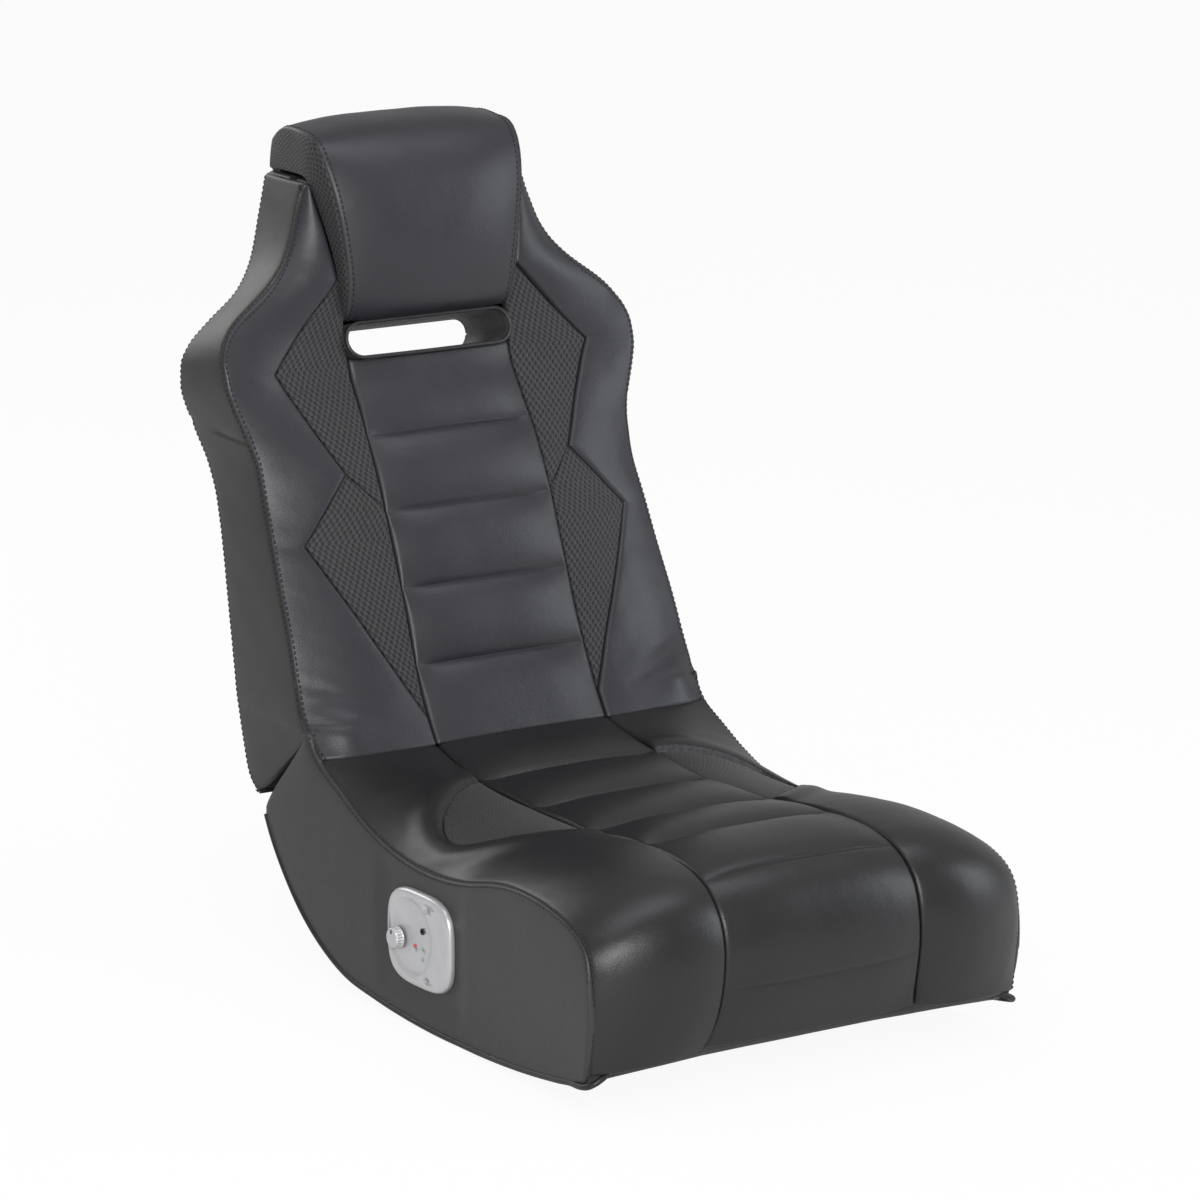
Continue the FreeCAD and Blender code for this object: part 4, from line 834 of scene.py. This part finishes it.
def make_dust_cover():
    """Dust cover, held by staples along its sides."""
    y = np.linspace(-436, 60, 60)
    z = np.interp(y, *zip(*base_points)) + 2.2
    base, share = across_rows(np.stack([np.zeros_like(y), y, z], axis=1), COVER_HALF, 40)
    sag = 1.2 * np.sin(math.pi * share) * soft_noise(base, 21)
    base[..., 2] += 0.8 + sag
    cloth, skin, normal = upholster("dust_cloth", base, (0, 0, -1), FELT, radius=0.6, thick=1.6)
    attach(cloth, "seat")
    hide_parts("seat_dust_cover")
    lines = [inset_line(skin, normal, side, 9.0) for side in (2, 3)]
    staples = stitch_row("dust_cloth_staples", lines, STEEL, pitch=42.0, long=11.0, wide=0.5, high=0.5)
    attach(staples, "seat")


def make_piping():
    """Piping along both bottom edges, from the twisted front end round the heel."""
    radius = 2.8
    curve = spline([(211.8, y, z + radius) for y, z in base_points])
    path = curve(np.linspace(0, 1, 160))
    tip = np.array([(194.0, -447.5, 37.0), (203.0, -448.5, 33.0), (209.5, -445.5, 29.0)])
    path = spline(np.vstack([tip, path[6::4]]))(np.linspace(0, 1, 240))
    for word, sign in SIDES:
        cord = tube_mesh("bottom_piping_" + word, on_side(path, sign), radius, BINDING)
        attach(cord, "seat")
    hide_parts("seat_bottom_welts")


# ---------------------------------------------------------------- lines of the backrest

BACK_SEAM = [(93, -12, 209), (93, 5, 236), (91.5, 30, 289), (90.5, 47, 333), (90.5, 64, 376), (90.5, 82, 420),
             (90, 104, 463), (88.5, 125, 497), (88, 144, 529), (88.5, 152, 573), (94, 150, 612), (101, 157, 655),
             (112, 171, 700)]
BACK_WELT = [(211, 0, 209), (213.5, 14, 222), (214.5, 28, 243), (213, 38, 266), (210.5, 54, 306), (208, 74, 348),
             (205.5, 94, 392), (203.5, 110, 427), (204, 118, 455), (208, 125, 476), (214, 129, 494), (220, 133, 512),
             (224, 137, 530), (224.5, 143, 547), (220.5, 149, 562), (213, 154, 574), (203, 156.5, 585),
             (190, 158, 595), (176, 160, 605), (161, 163, 617), (147, 167, 632), (137, 171, 649), (130, 174, 667),
             (123.5, 177, 686), (117, 178, 703)]
BACK_REAR = [(215, 104, 151), (214, 122, 166), (213, 133, 190), (212.5, 141, 216), (212, 149, 243), (210, 160, 290),
             (208, 169.5, 324), (206, 182, 378), (204, 196, 420), (207, 206, 450), (214, 215, 477), (222, 218, 501),
             (226, 219.5, 520), (225.5, 219, 539), (218, 218, 556), (197, 217, 577), (175, 216, 595), (146, 231, 622),
             (133, 241, 644), (123, 248, 670), (114, 251, 704)]
seam_at = by_height(BACK_SEAM)
welt_at = by_height(BACK_WELT)
rear_at = by_height(BACK_REAR)
ZIGZAG = [(93.5, 232), (175, 386), (122, 445), (170, 536), (96, 615), (113, 704)]
BACK_CHANNELS = [275.0, 342.0, 410.0, 476.0]
SLOT_Z = (541.5, 572.5)
BACK_LOW, BACK_TOP = 152.0, 704.0


def zigzag_x(z):
    """Where the mesh ends and the leather of the side begins."""
    points = np.array([(93.2, 205), *ZIGZAG], float)
    return np.interp(z, points[:, 1], points[:, 0])


def back_y(x, z):
    """The backrest's padded front surface over the view from the front, beside the middle panel."""
    seam, welt = seam_at(z), welt_at(z)
    share = np.clip((np.abs(x) - seam[..., 0]) / np.maximum(welt[..., 0] - seam[..., 0], 1), 0, 1)
    swell = 3.0 * np.sin(math.pi * share) * np.clip((np.asarray(z) - 205) / 40.0, 0.2, 1)
    # The leather lies over the hinge's eye beside the crease.
    near = np.exp(-((np.asarray(z) - 224) / 30.0) ** 2)
    swell = swell + 7.0 * np.exp(-((np.abs(x) - 184) / 22.0) ** 2 - ((np.asarray(z) - 229) / 19.0) ** 2)
    return seam[..., 1] + (welt[..., 1] - seam[..., 1]) * share ** (1.25 + 1.5 * near) - swell


def heights(low, high, spacing, marks=()):
    return low + stations(high - low, spacing, [m - low for m in marks], edge=5.0)


def front_patch(z, inner, outer, middle):
    """A grid over rows of constant height between two boundaries, lifted onto the front surface."""
    a = np.stack([inner, np.zeros_like(z), z], axis=1)
    b = np.stack([np.maximum(outer, inner + 0.4), np.zeros_like(z), z], axis=1)
    grid, share = rows_between(a, b, middle)
    grid[..., 1] = back_y(grid[..., 0], grid[..., 2])
    return grid, share


def bend_with_crease(*pieces):
    """Bakes each piece's placement into its mesh and leaves it unattached to the seat and the backrest."""
    for piece in pieces:
        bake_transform(piece)


def make_back_center():
    """Middle panel of the backrest with its sewn channels."""
    z = heights(207.0, SLOT_Z[0], 9.0, BACK_CHANNELS)
    seam = seam_at(z)
    right = np.stack([seam[:, 0], seam[:, 1], z], axis=1)
    base, share = rows_between(mirrored(right), right, 26)
    crown = 8.5 * across_mask(share, 3.2)
    fade = np.clip(across_mask(share, 7.0), 0, 1)
    for line in BACK_CHANNELS:
        crown = crown - valley((z[:, None] - line) * 1.1, 7.0, 8.5) * fade
    # The top edge turns in under the slot; the foot meets the crease.
    crown = crown - 3.0 * np.exp(-(SLOT_Z[0] - z[:, None]) / 9.0) * fade
    crown = crown * np.clip(0.45 + (z[:, None] - 207) / 60.0, 0, 1)
    item, skin, normal = upholster("back_center", base, (0, -1, 0.4), BACK_LEATHER_PAINTED_LIT, puff=crown, thick=16.0,
                                   ripple=0.4, seed=31)
    lines = []
    for line in BACK_CHANNELS:
        i = int(np.argmin(np.abs(z - line)))
        lines.append((skin[i, 7:-7] - np.array([0, 0, 0.8]), normal[i, 7:-7]))
    thread = stitch_row("back_center_stitches", lines, THREAD)
    bend_with_crease(item, thread)
    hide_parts("back_center_cushion")


def make_back_side(word, sign):
    """Leather side panel of the backrest and the two diamonds of mesh inside it."""
    z = heights(206.0, 703.0, 5.0, [232.0, 386.0, 445.0, 536.0, 615.0])
    inner = zigzag_x(z)
    outer = welt_at(z)[:, 0]
    base, share = front_patch(z, inner, outer, 26)
    width = (outer - inner)[:, None]
    lift = 3.2 * dome(share) * np.clip(width / 60, 0.3, 1)
    # Soft pull lines near the foot of the panel.
    x, height = base[..., 0], base[..., 2]
    for cx, cz, slope, long, depth in ((186, 262, 0.35, 26, 1.5), (176, 246, 0.25, 30, 1.3), (196, 236, 0.1, 20, 1.0)):
        off = (height - cz) - slope * (x - cx)
        lift = lift - depth * np.exp(-(off / 3.4) ** 2) * np.exp(-((x - cx) / long) ** 2)
    base = on_side(base, sign)
    item, skin, normal = upholster("back_side_" + word, base, (0, -1, 0.3), BACK_LEATHER_PAINTED_LIT, puff=lift, radius=3.4,
                                   thick=12.0, ripple=0.55, seed=33 if sign > 0 else 34)
    thread = stitch_row("back_side_stitches_" + word, [inset_line(skin, normal, 3, 7.0)], THREAD)
    bend_with_crease(item, thread)
    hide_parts("back_side_panel_" + word)

    for part, low, high in (("upper", 412.0, 615.0), ("lower", 233.0, 445.0)):
        z = heights(low, high, 6.0, [445.0, 536.0, 386.0, *SLOT_Z])
        seam = seam_at(z)[:, 0] + 0.3
        outer = zigzag_x(z)
        inner = seam.copy()
        across = 90.8 + (122.0 - 90.8) * (z - 412.0) / 33.0
        if part == "upper":
            outer = np.where(z < 445.0, across, outer)
        else:
            inner = np.where(z > 412.0, across, inner)
        base, share = front_patch(z, inner, outer, 16)
        base[..., 1] += 1.6
        base = on_side(base, sign)
        width = (outer - inner)[:, None]
        lift = 2.2 * dome(share) * np.clip(width / 50, 0.2, 1)
        pad, _, _ = upholster("back_net_%s_%s" % (part, word), base, (0, -1, 0.3), BACK_NET_PAINTED_LIT, puff=lift, radius=2.2,
                              thick=9.0)
        if part == "lower":
            bend_with_crease(pad)
        else:
            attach(pad, "backrest")
        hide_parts("back_mesh_%s_%s" % (part, word))


def mitre_y(z):
    """Rear limit line of the backrest's foot, from the fold axis down and back."""
    return PIVOT[0] + (PIVOT[1] - z) / math.tan(MITRE)


def make_back_cover(word, sign):
    """Side cover of the backrest and the cap on its top."""
    z = heights(BACK_LOW, BACK_TOP, 6.0, [PIVOT[1], 476.0])
    welt, rear = welt_at(np.maximum(z, 224.0)), rear_at(z)
    front_y = np.where(z > PIVOT[1], welt[:, 1], np.maximum(mitre_y(z), 12.0))
    front_x = np.where(z > PIVOT[1], welt[:, 0], 213.0)
    a = np.stack([front_x, front_y, z], axis=1)
    b = np.stack([rear[:, 0], np.maximum(rear[:, 1], front_y + 1.0), z], axis=1)
    base, share = rows_between(a, b, 20)
    lift = 3.0 * dome(share) * np.clip((b - a)[:, None, 1] / 60, 0.1, 1)
    # A cross seam joins the upper and the lower part at the wing.
    seam_z = 478.0 + 10.0 * share
    lift = lift - 1.8 * np.exp(-((base[..., 2] - seam_z) / 1.6) ** 2)
    base = base - np.array([0.6, 0, 0])
    base = on_side(base, sign)
    item, skin, normal = upholster("back_cover_" + word, base, (sign, 0, 0), SIDE_LEATHER_PAINTED_HALF_LIGHT, puff=lift, thick=4.0,
                                   radius=3.2, ripple=0.5, seed=41 if sign > 0 else 42)
    # A cap closes the top beside the headrest.
    over = np.linspace(0, 1, 18)[:, None]
    inner_line = np.array([94.0, 166.0, 703.5]) + over * np.array([4.0, 84.0, 2.5])
    outer_line = np.array([112.5, 172.0, 703.0]) + over * np.array([2.0, 78.0, 0.5])
    top, _ = rows_between(inner_line, outer_line, 10)
    cap, _, _ = upholster("back_cap_" + word, on_side(top, sign), (0, 0, 1), SIDE_LEATHER_PAINTED_HALF_LIGHT, crown=2.5, radius=2.6,
                          thick=9.0)
    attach(cap, "backrest")
    front_line, front_normal = inset_line(skin, normal, 2, 4.0)
    keep = front_line[:, 2] > 236.0
    rear_line, rear_normal = inset_line(skin, normal, 3, 5.0)
    thread = stitch_row("back_cover_stitches_" + word, [(front_line[keep], front_normal[keep]),
                                                        (rear_line, rear_normal)], THREAD)
    for piece in (item, thread):
        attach(piece, "backrest")
    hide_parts("back_side_cover_" + word)


def make_back_rear():
    """Rear skin of the backrest, open at the hand slot."""
    centre, high, half = 537.5, 16.0, 88.5
    marks = [centre + high * k for k in (-1.0, -0.92, -0.7, -0.36, 0.0, 0.36, 0.7, 0.92, 1.0)]
    z = heights(BACK_LOW, BACK_TOP, 8.0, marks)
    rear = rear_at(z)
    right = rear[:, 0] - 0.8
    # Columns run along the ends of the hand slot's opening.
    off = np.clip((z - centre) / high, -1, 1)
    end = half - high + high * np.sqrt(1 - off ** 2)
    across = np.linspace(0, 1, 9)[:-1]
    outer = shares(120.0, 12)
    x = np.concatenate([end[:, None] * across, end[:, None] + (right - end)[:, None] * outer], axis=1)
    x = np.concatenate([-x[:, :0:-1], x], axis=1)
    share = 0.5 + 0.5 * x / right[:, None]
    base = np.stack([x, np.repeat(rear[:, 1:2], x.shape[1], axis=1), np.repeat(z[:, None], x.shape[1], axis=1)],
                    axis=-1)
    crown = 3.5 * across_mask(share, 4.0)
    away = np.hypot(np.maximum(np.abs(x) - 72.0, 0), z[:, None] - centre)
    crown = crown - 3.5 * np.exp(-(away / 30.0) ** 2)
    middle = (x.shape[1] - 1) // 2
    rows = (z[:-1] >= centre - high - 0.01) & (z[1:] <= centre + high + 0.01)
    columns = np.abs(np.arange(x.shape[1] - 1) + 0.5 - middle) < len(across)
    hole = rows[:, None] & columns[None, :]
    rear, skin, normal = upholster("back_rear_skin", base, (0, 1, 0), SIDE_LEATHER_PAINTED_HALF_LIGHT, puff=crown, thick=2.5, ripple=0.9,
                                   seed=51, hole=hole)
    lines = [inset_line(skin, normal, side, 7.0) for side in (2, 3)]
    thread = stitch_row("back_rear_stitches", lines, THREAD)
    for piece in (rear, thread):
        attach(piece, "backrest")
    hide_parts("back_rear_cover")


def stadium_ring(half, high, count=96):
    """x and height of points spread evenly round a slot with straight runs and round ends."""
    straight = 2 * (half - high)
    total = 2 * straight + 2 * math.pi * high
    points = []
    for k in range(count):
        s = total * k / count
        if s < straight:
            points.append((-straight / 2 + s, -high))
        elif s < straight + math.pi * high:
            turn = (s - straight) / high - math.pi / 2
            points.append((straight / 2 + high * math.cos(turn), high * math.sin(turn)))
        elif s < 2 * straight + math.pi * high:
            points.append((straight / 2 - (s - straight - math.pi * high), high))
        else:
            turn = (s - 2 * straight - math.pi * high) / high + math.pi / 2
            points.append((-straight / 2 + high * math.cos(turn), high * math.sin(turn)))
    return np.array(points)


SLOT_AXIS = (150.0, 557.0, math.radians(16.0))


def slot_tilt(y):
    """The sleeve's rings lean at the front and straighten towards the rear."""
    return math.radians(20 - 18 * (y - 150) / 72)


def slot_ring(y, half, high, tilt, count=96):
    flat = stadium_ring(half, high, count)
    y0, z0, fall = SLOT_AXIS
    z = z0 - (y - y0) * math.tan(fall)
    return np.stack([flat[:, 0], y + flat[:, 1] * math.sin(tilt), z + flat[:, 1] * math.cos(tilt)], axis=1)


def make_slot():
    """Hand slot: a mesh sleeve through the backrest, slack between its two piped ends."""
    rings = []
    steps = np.linspace(150.0, 222.0, 14)
    for y in steps:
        slack = 1.2 * math.sin(math.pi * (y - 150.0) / 72.0)
        rings.append(slot_ring(y, 88.0 - slack, 15.2 - slack, slot_tilt(y)))
    outer = [slot_ring(y, 90.0, 17.4, slot_tilt(y)) for y in steps[::-1]]
    liner = loft_rings("slot_sleeve", rings + outer, SLOT_NET_PAINTED_LIT, closed=True)
    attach(liner, "backrest")
    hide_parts("slot_liner")
    for name, y, half, high, tilt in (("slot_piping_front", 147.5, 89.4, 16.4, 20.0),
                                      ("slot_piping_rear", 223.0, 89.6, 16.6, 2.0)):
        path = slot_ring(y, half, high, math.radians(tilt), 140)
        if y < 200:
            # The lower run follows the padded top of the middle panel.
            low = np.clip((557 - path[:, 2]) / 14.0, 0, 1)
            path[:, 1] -= 3.0 * low * (1 - (path[:, 0] / 90) ** 2)
        ring = tube_mesh(name, path, 1.9, TRIM_EDGE, closed=True)
        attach(ring, "backrest")
        if y < 200:
            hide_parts("slot_trims")


HEAD_CROWN = [(166, 580), (156, 573.5), (146, 577), (133, 604), (128, 645), (133, 690), (149, 727), (170, 748),
              (203, 757.5), (232, 755), (246, 742), (250.5, 725), (250.5, 706)]
HEAD_EDGE = [(166, 580), (158, 575), (152, 578), (142, 604), (141, 645), (145.5, 690), (160, 729), (174, 743),
             (203, 749), (230, 748), (243, 740), (249, 726), (250, 706)]
HEAD_HALF = [89, 90, 90.5, 91.5, 95.5, 102, 107.5, 109, 109.5, 109.5, 109.5, 109.5, 109]
GUSSET_IN = [(89, 157, 576), (94, 152.5, 602), (100, 156, 642), (105, 163, 668), (110, 171, 692), (113.2, 177, 706),
             (113.5, 184, 709), (113, 206, 710), (112.5, 230, 710), (112, 246, 709)]
GUSSET_OUT = [(88.8, 153, 577), (90.6, 142.5, 603), (95.3, 141.5, 645), (99, 142.5, 668), (102.6, 146.5, 693),
              (107.3, 159, 728), (109.2, 173, 743), (109.6, 203, 748.5), (109.6, 230, 747.5), (109.2, 245, 737)]


def make_headrest():
    """The pillow of the headrest and the mesh gussets beside it."""
    line = spline(np.column_stack([HEAD_CROWN, HEAD_EDGE, HEAD_HALF]))
    marks = np.linspace(0, 1, 800)
    length = lengths_along(line(marks)[:, :2])
    values = line(np.interp(stations(length[-1], 6.0), length, marks))
    half = values[:, 4]
    share = np.array([shares(2 * w, 34) for w in half])
    late = np.abs(2 * share - 1) ** 3.0
    x = (2 * share - 1) * half[:, None]
    y = values[:, None, 0] + (values[:, 2] - values[:, 0])[:, None] * late
    z = values[:, None, 1] + (values[:, 3] - values[:, 1])[:, None] * late
    base = np.stack([x, y, z], axis=-1)
    item, skin, normal = upholster("headrest_pillow", base, (0, -1, 0.25), BACK_LEATHER_PAINTED_LIT, radius=4.0, thick=17.0,
                                   ripple=0.35, seed=61)
    lines = [inset_line(skin, normal, side, 8.5) for side in (2, 3)]
    thread = stitch_row("headrest_stitches", lines, THREAD)
    for piece in (item, thread):
        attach(piece, "backrest")
    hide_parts("headrest_cushion")
    length = 250.0
    values = spline(np.hstack([GUSSET_OUT, GUSSET_IN]))(stations(length, 6.0) / length)
    for word, sign in SIDES:
        base, _ = rows_between(values[:, :3], values[:, 3:], 12)
        base = on_side(base, sign)
        gusset, _, _ = upholster("headrest_net_" + word, base, (sign, -0.4, 0.2), GUSSET_NET_PAINTED_LIT, crown=1.2, radius=1.6,
                                 thick=5.0)
        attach(gusset, "backrest")
        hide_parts("headrest_gusset_" + word)


def make_foot():
    """The backrest's lower face, which meets the seat's rear face when the chair stands up."""
    count = 22
    along = np.array([math.cos(-MITRE), math.sin(-MITRE)])
    near, far = (np.array(PIVOT) + distance * along for distance in (20, 121))
    points = near + (far - near) * np.linspace(0, 1, count)[:, None]
    base, _ = across_rows(np.column_stack([np.zeros(count), points]), 207.0, 30)
    item, _, _ = upholster("back_foot_skin", base, (0, -0.6, -0.8), FELT, radius=1.6, thick=2.4)
    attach(item, "backrest")
    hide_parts("back_lower_cover")


# ---------------------------------------------------------------- control panel

# On the panel, a runs forward along the seat, b upward, and heights outward from the side board's face.
PANEL_X, PANEL_Y, PANEL_Z = -212.3, -177.5, 85.5
BEZEL_MIDDLE = np.array([-0.8, -1.9])
DIAL = np.array([12.0, -1.5])
KNOB_A, KNOB_B = 33.0, -7.0
JACK = (-5.0, 7.0, 2.3)
LENSES = (("lens_one", 8.0, -9.0, 1.6), ("lens_two", -4.0, -9.0, 1.3), ("lens_three", -5.0, -19.0, 1.3))


def panel_point(a, b, height):
    return (PANEL_X - height, PANEL_Y + a, PANEL_Z + b)


def superellipse(half_a, half_b, power, count):
    turn = np.linspace(0, 2 * math.pi, count, endpoint=False)
    c, s = np.cos(turn), np.sin(turn)
    return np.stack([half_a * np.sign(c) * np.abs(c) ** (2 / power), half_b * np.sign(s) * np.abs(s) ** (2 / power)],
                    axis=1)


def cut_out(item, tool):
    """Takes the closed tool shape out of a piece."""
    modifier = item.modifiers.new("opening", "BOOLEAN")
    modifier.operation = "DIFFERENCE"
    modifier.solver = "EXACT"
    modifier.object = tool
    bpy.context.view_layer.objects.active = item
    bpy.ops.object.modifier_apply(modifier="opening")
    bpy.data.objects.remove(tool)


def disc_tool(a, b, radius, low=-1.0, stretch=1.0, turn=0.0, high=9.0):
    """A round or oval plug that cuts a hole or a recess."""
    angle = np.linspace(0, 2 * math.pi, 40, endpoint=False)
    u, v = radius * stretch * np.cos(angle), radius * np.sin(angle)
    ring = np.stack([a + u * math.cos(turn) - v * math.sin(turn), b + u * math.sin(turn) + v * math.cos(turn)], axis=1)
    return loft_rings("tool", [[panel_point(p, q, h) for p, q in ring] for h in (low, high)], SILVER)


def make_bezel():
    """Panel frame with a dished dial, holes for knob, jack and lenses, and two screw recesses."""
    count = 144
    outline = superellipse(52.8, 43.8, 3.4, count)
    circle = superellipse(1.0, 1.0, 2.0, count)
    rim = 0.89
    rings = []
    for size, height in ((0.97, -1.0), (1.0, -1.0), (1.0, 1.5), (0.995, 3.4), (0.98, 4.9), (0.955, 5.9), (0.925, 6.3),
                         (rim, 6.4)):
        rings.append([panel_point(a, b, height) for a, b in outline * size + BEZEL_MIDDLE])
    edge = rim * outline + BEZEL_MIDDLE
    rings.append([panel_point(a, b, 6.5) for a, b in edge + (circle * 36.8 + DIAL - edge) * 0.5])
    for radius, height in ((36.4, 6.2), (35.6, 5.9), (34.6, 5.2), (33.0, 4.3), (30.5, 3.7), (26.0, 3.35), (16.0, 3.1),
                           (6.0, 3.0)):
        rings.append([panel_point(a, b, height) for a, b in circle * radius + DIAL])
    bezel = loft_rings("panel_bezel", rings, SILVER)
    cut_out(bezel, disc_tool(KNOB_A, KNOB_B, 4.2))
    cut_out(bezel, disc_tool(*JACK))
    for _, a, b, radius in LENSES:
        cut_out(bezel, disc_tool(a, b, radius + 0.1))
    cut_out(bezel, disc_tool(-17.0, 30.0, 4.6, 2.8, 1.25, 0.5))
    cut_out(bezel, disc_tool(-15.0, -36.0, 2.7, 2.8, 2.1, -0.45))
    bpy.context.view_layer.objects.active = bezel
    bezel.select_set(True)
    bpy.ops.object.shade_auto_smooth(angle=math.radians(32))
    for modifier in list(bezel.modifiers):
        bpy.ops.object.modifier_apply(modifier=modifier.name)
    bezel.select_set(False)
    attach(bezel, "seat")
    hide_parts("control_panel_bezel")


def make_lenses():
    """Three domed lenses."""
    for name, a, b, radius in LENSES:
        rings = []
        for share, height in ((1.0, -1.0), (1.0, 3.6), (0.92, 4.1), (0.7, 4.5), (0.4, 4.75), (0.08, 4.85)):
            ring = superellipse(radius * share, radius * share, 2.0, 24) + np.array([a, b])
            rings.append([panel_point(p, q, height) for p, q in ring])
        first = name == "lens_one"
        lens = loft_rings("indicator_" + name, rings, RED if first else GREEN)
        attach(lens, "seat")
        if first:
            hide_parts("indicator_lenses")


def make_knob():
    """Knob: a skirt, fine ribs, a dished cap and a dark pointer."""
    ribs, sides = 24, 144
    angle = np.linspace(0, 2 * math.pi, sides, endpoint=False)
    rings = []
    for radius, height, rib in ((9.6, 4.6, 0), (10.2, 4.8, 0), (10.3, 5.6, 0), (9.9, 6.1, 0.2), (9.6, 6.6, 0.35),
                                (9.3, 10.6, 0.35), (9.0, 11.8, 0.25), (8.4, 12.5, 0), (7.4, 12.9, 0),
                                (6.6, 12.7, 0), (3.5, 12.3, 0), (0.6, 12.2, 0)):
        r = radius + rib * np.cos(ribs * angle)
        rings.append([panel_point(KNOB_A + r_k * math.cos(t), KNOB_B + r_k * math.sin(t), height)
                      for r_k, t in zip(r, angle)])
    knob = loft_rings("knob_cap", rings, SILVER)
    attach(knob, "volume_knob")
    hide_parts("volume_knob")
    mark = superellipse(0.7, 2.0, 4.0, 24) + np.array([0.0, 6.2])
    pointer = loft_rings("knob_pointer", [[panel_point(KNOB_A + a, KNOB_B + b, h) for a, b in mark]
                                          for h in (11.6, 13.1, 13.15)], PLASTIC)
    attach(pointer, "volume_knob")


make_seat_center()
make_back_center()
for side_word, side_sign in SIDES:
    make_bolster(side_word, side_sign)
    make_seat_side(side_word, side_sign)
    make_back_side(side_word, side_sign)
    make_back_cover(side_word, side_sign)
make_seat_rear()
make_turn_under()
make_dust_cover()
make_piping()
make_back_rear()
make_slot()
make_headrest()
make_foot()
make_bezel()
make_lenses()
make_knob()


# ---------------------------------------------------------------- carried-over nodes

FINISH = {
    PLYWOOD: ("seat_front_rail", "seat_middle_rail", "seat_rear_rail", "seat_deck"),
    FELT: ("seat_side_board_left", "seat_side_board_right", "back_frame_board", "back_side_rail_left",
           "back_side_rail_right"),
    STEEL: ("hinge_seat_strap_left", "hinge_seat_strap_right", "hinge_back_strap_left", "hinge_back_strap_right",
            "hinge_pin_left", "hinge_pin_right", "hinge_seat_bolts", "hinge_back_bolts", "panel_screws",
            "volume_shaft", "speaker_magnet_left", "speaker_magnet_right", "volume_control"),
    PLASTIC: ("amplifier_case", "audio_jack", "speaker_frame_left", "speaker_frame_right"),
    PAPER: ("speaker_cone_left", "speaker_cone_right"),
    BOARD: ("amplifier_board",),
    RUBBER: ("front_glides",),
}
for finish, names in FINISH.items():
    for name in names:
        nodes[name].data.materials.clear()
        nodes[name].data.materials.append(finish)


# ---------------------------------------------------------------- floor, light and camera

def seen_by_camera(tree, usual, camera, output, share=None):
    """Camera rays see one shader, and all other rays the usual one."""
    rays = node(tree, "ShaderNodeLightPath").outputs["Is Camera Ray"]
    if share is not None:
        rays = scaled(tree, rays, share)
    blend = node(tree, "ShaderNodeMixShader")
    for index, source in enumerate((rays, usual, camera)):
        tree.links.new(source, blend.inputs[index])
    tree.links.new(blend.outputs[0], tree.nodes[output].inputs["Surface"])


def make_stage():
    """White floor and background, four area lamps and the photograph's camera."""
    paint, tree, shader = new_material("floor_paint")
    shader.inputs["Base Color"].default_value = (0.86, 0.86, 0.86, 1)
    shader.inputs["Roughness"].default_value = 0.7
    bpy.ops.mesh.primitive_plane_add(size=60.0, location=(0, 0, -0.0012))
    floor = bpy.context.object
    floor.name = "floor"
    floor.data.materials.append(paint)
    glow = node(tree, "ShaderNodeEmission", Strength=1.0)
    seen_by_camera(tree, shader.outputs[0], glow.outputs[0], "Material Output", 0.93)

    world = bpy.data.worlds.new("studio")
    bpy.context.scene.world = world
    world.use_nodes = True
    tree = world.node_tree
    background = tree.nodes["Background"]
    background.inputs["Color"].default_value = (1, 1, 1, 1)
    background.inputs["Strength"].default_value = 0.5
    white = node(tree, "ShaderNodeBackground", Strength=1.0)
    white.inputs["Color"].default_value = (1, 1, 1, 1)
    seen_by_camera(tree, background.outputs[0], white.outputs[0], "World Output")

    def lamp(name, place, target, size, power, tint=(1, 1, 1)):
        data = bpy.data.lights.new(name, "AREA")
        data.shape = "RECTANGLE"
        data.size, data.size_y = size
        data.energy = power
        data.color = tint
        item = bpy.data.objects.new(name, data)
        bpy.context.scene.collection.objects.link(item)
        item.location = place
        item.rotation_euler = (Vector(target) - Vector(place)).to_track_quat("-Z", "Y").to_euler()

    lamp("key", (-1.5, -2.7, 1.5), (0, 0.1, 0.4), (1.3, 1.3), 62.0)
    lamp("fill", (2.6, -1.6, 1.2), (0, 0, 0.35), (0.9, 1.8), 22.0, (0.92, 0.95, 1.0))
    lamp("top", (0.0, -0.5, 2.6), (0, 0, 0.3), (2.4, 0.7), 16.0, (0.94, 0.96, 1.0))
    lamp("rear", (-0.6, 2.6, 1.8), (0, 0.2, 0.5), (1.6, 1.4), 22.0)

    camera_data = bpy.data.cameras.new("photo_camera")
    camera = bpy.data.objects.new("photo_camera", camera_data)
    bpy.context.scene.collection.objects.link(camera)
    camera.location = (-2.661, -4.149 + SHIFT / 1000, 1.475)
    camera.rotation_euler = (math.radians(90 - 13.082), 0.0, math.radians(-33.579))
    camera_data.sensor_width = 36.0
    camera_data.lens = 165.0
    camera_data.clip_end = 100.0
    bpy.context.scene.camera = camera
    bpy.context.scene.view_settings.view_transform = "Standard"


make_stage()
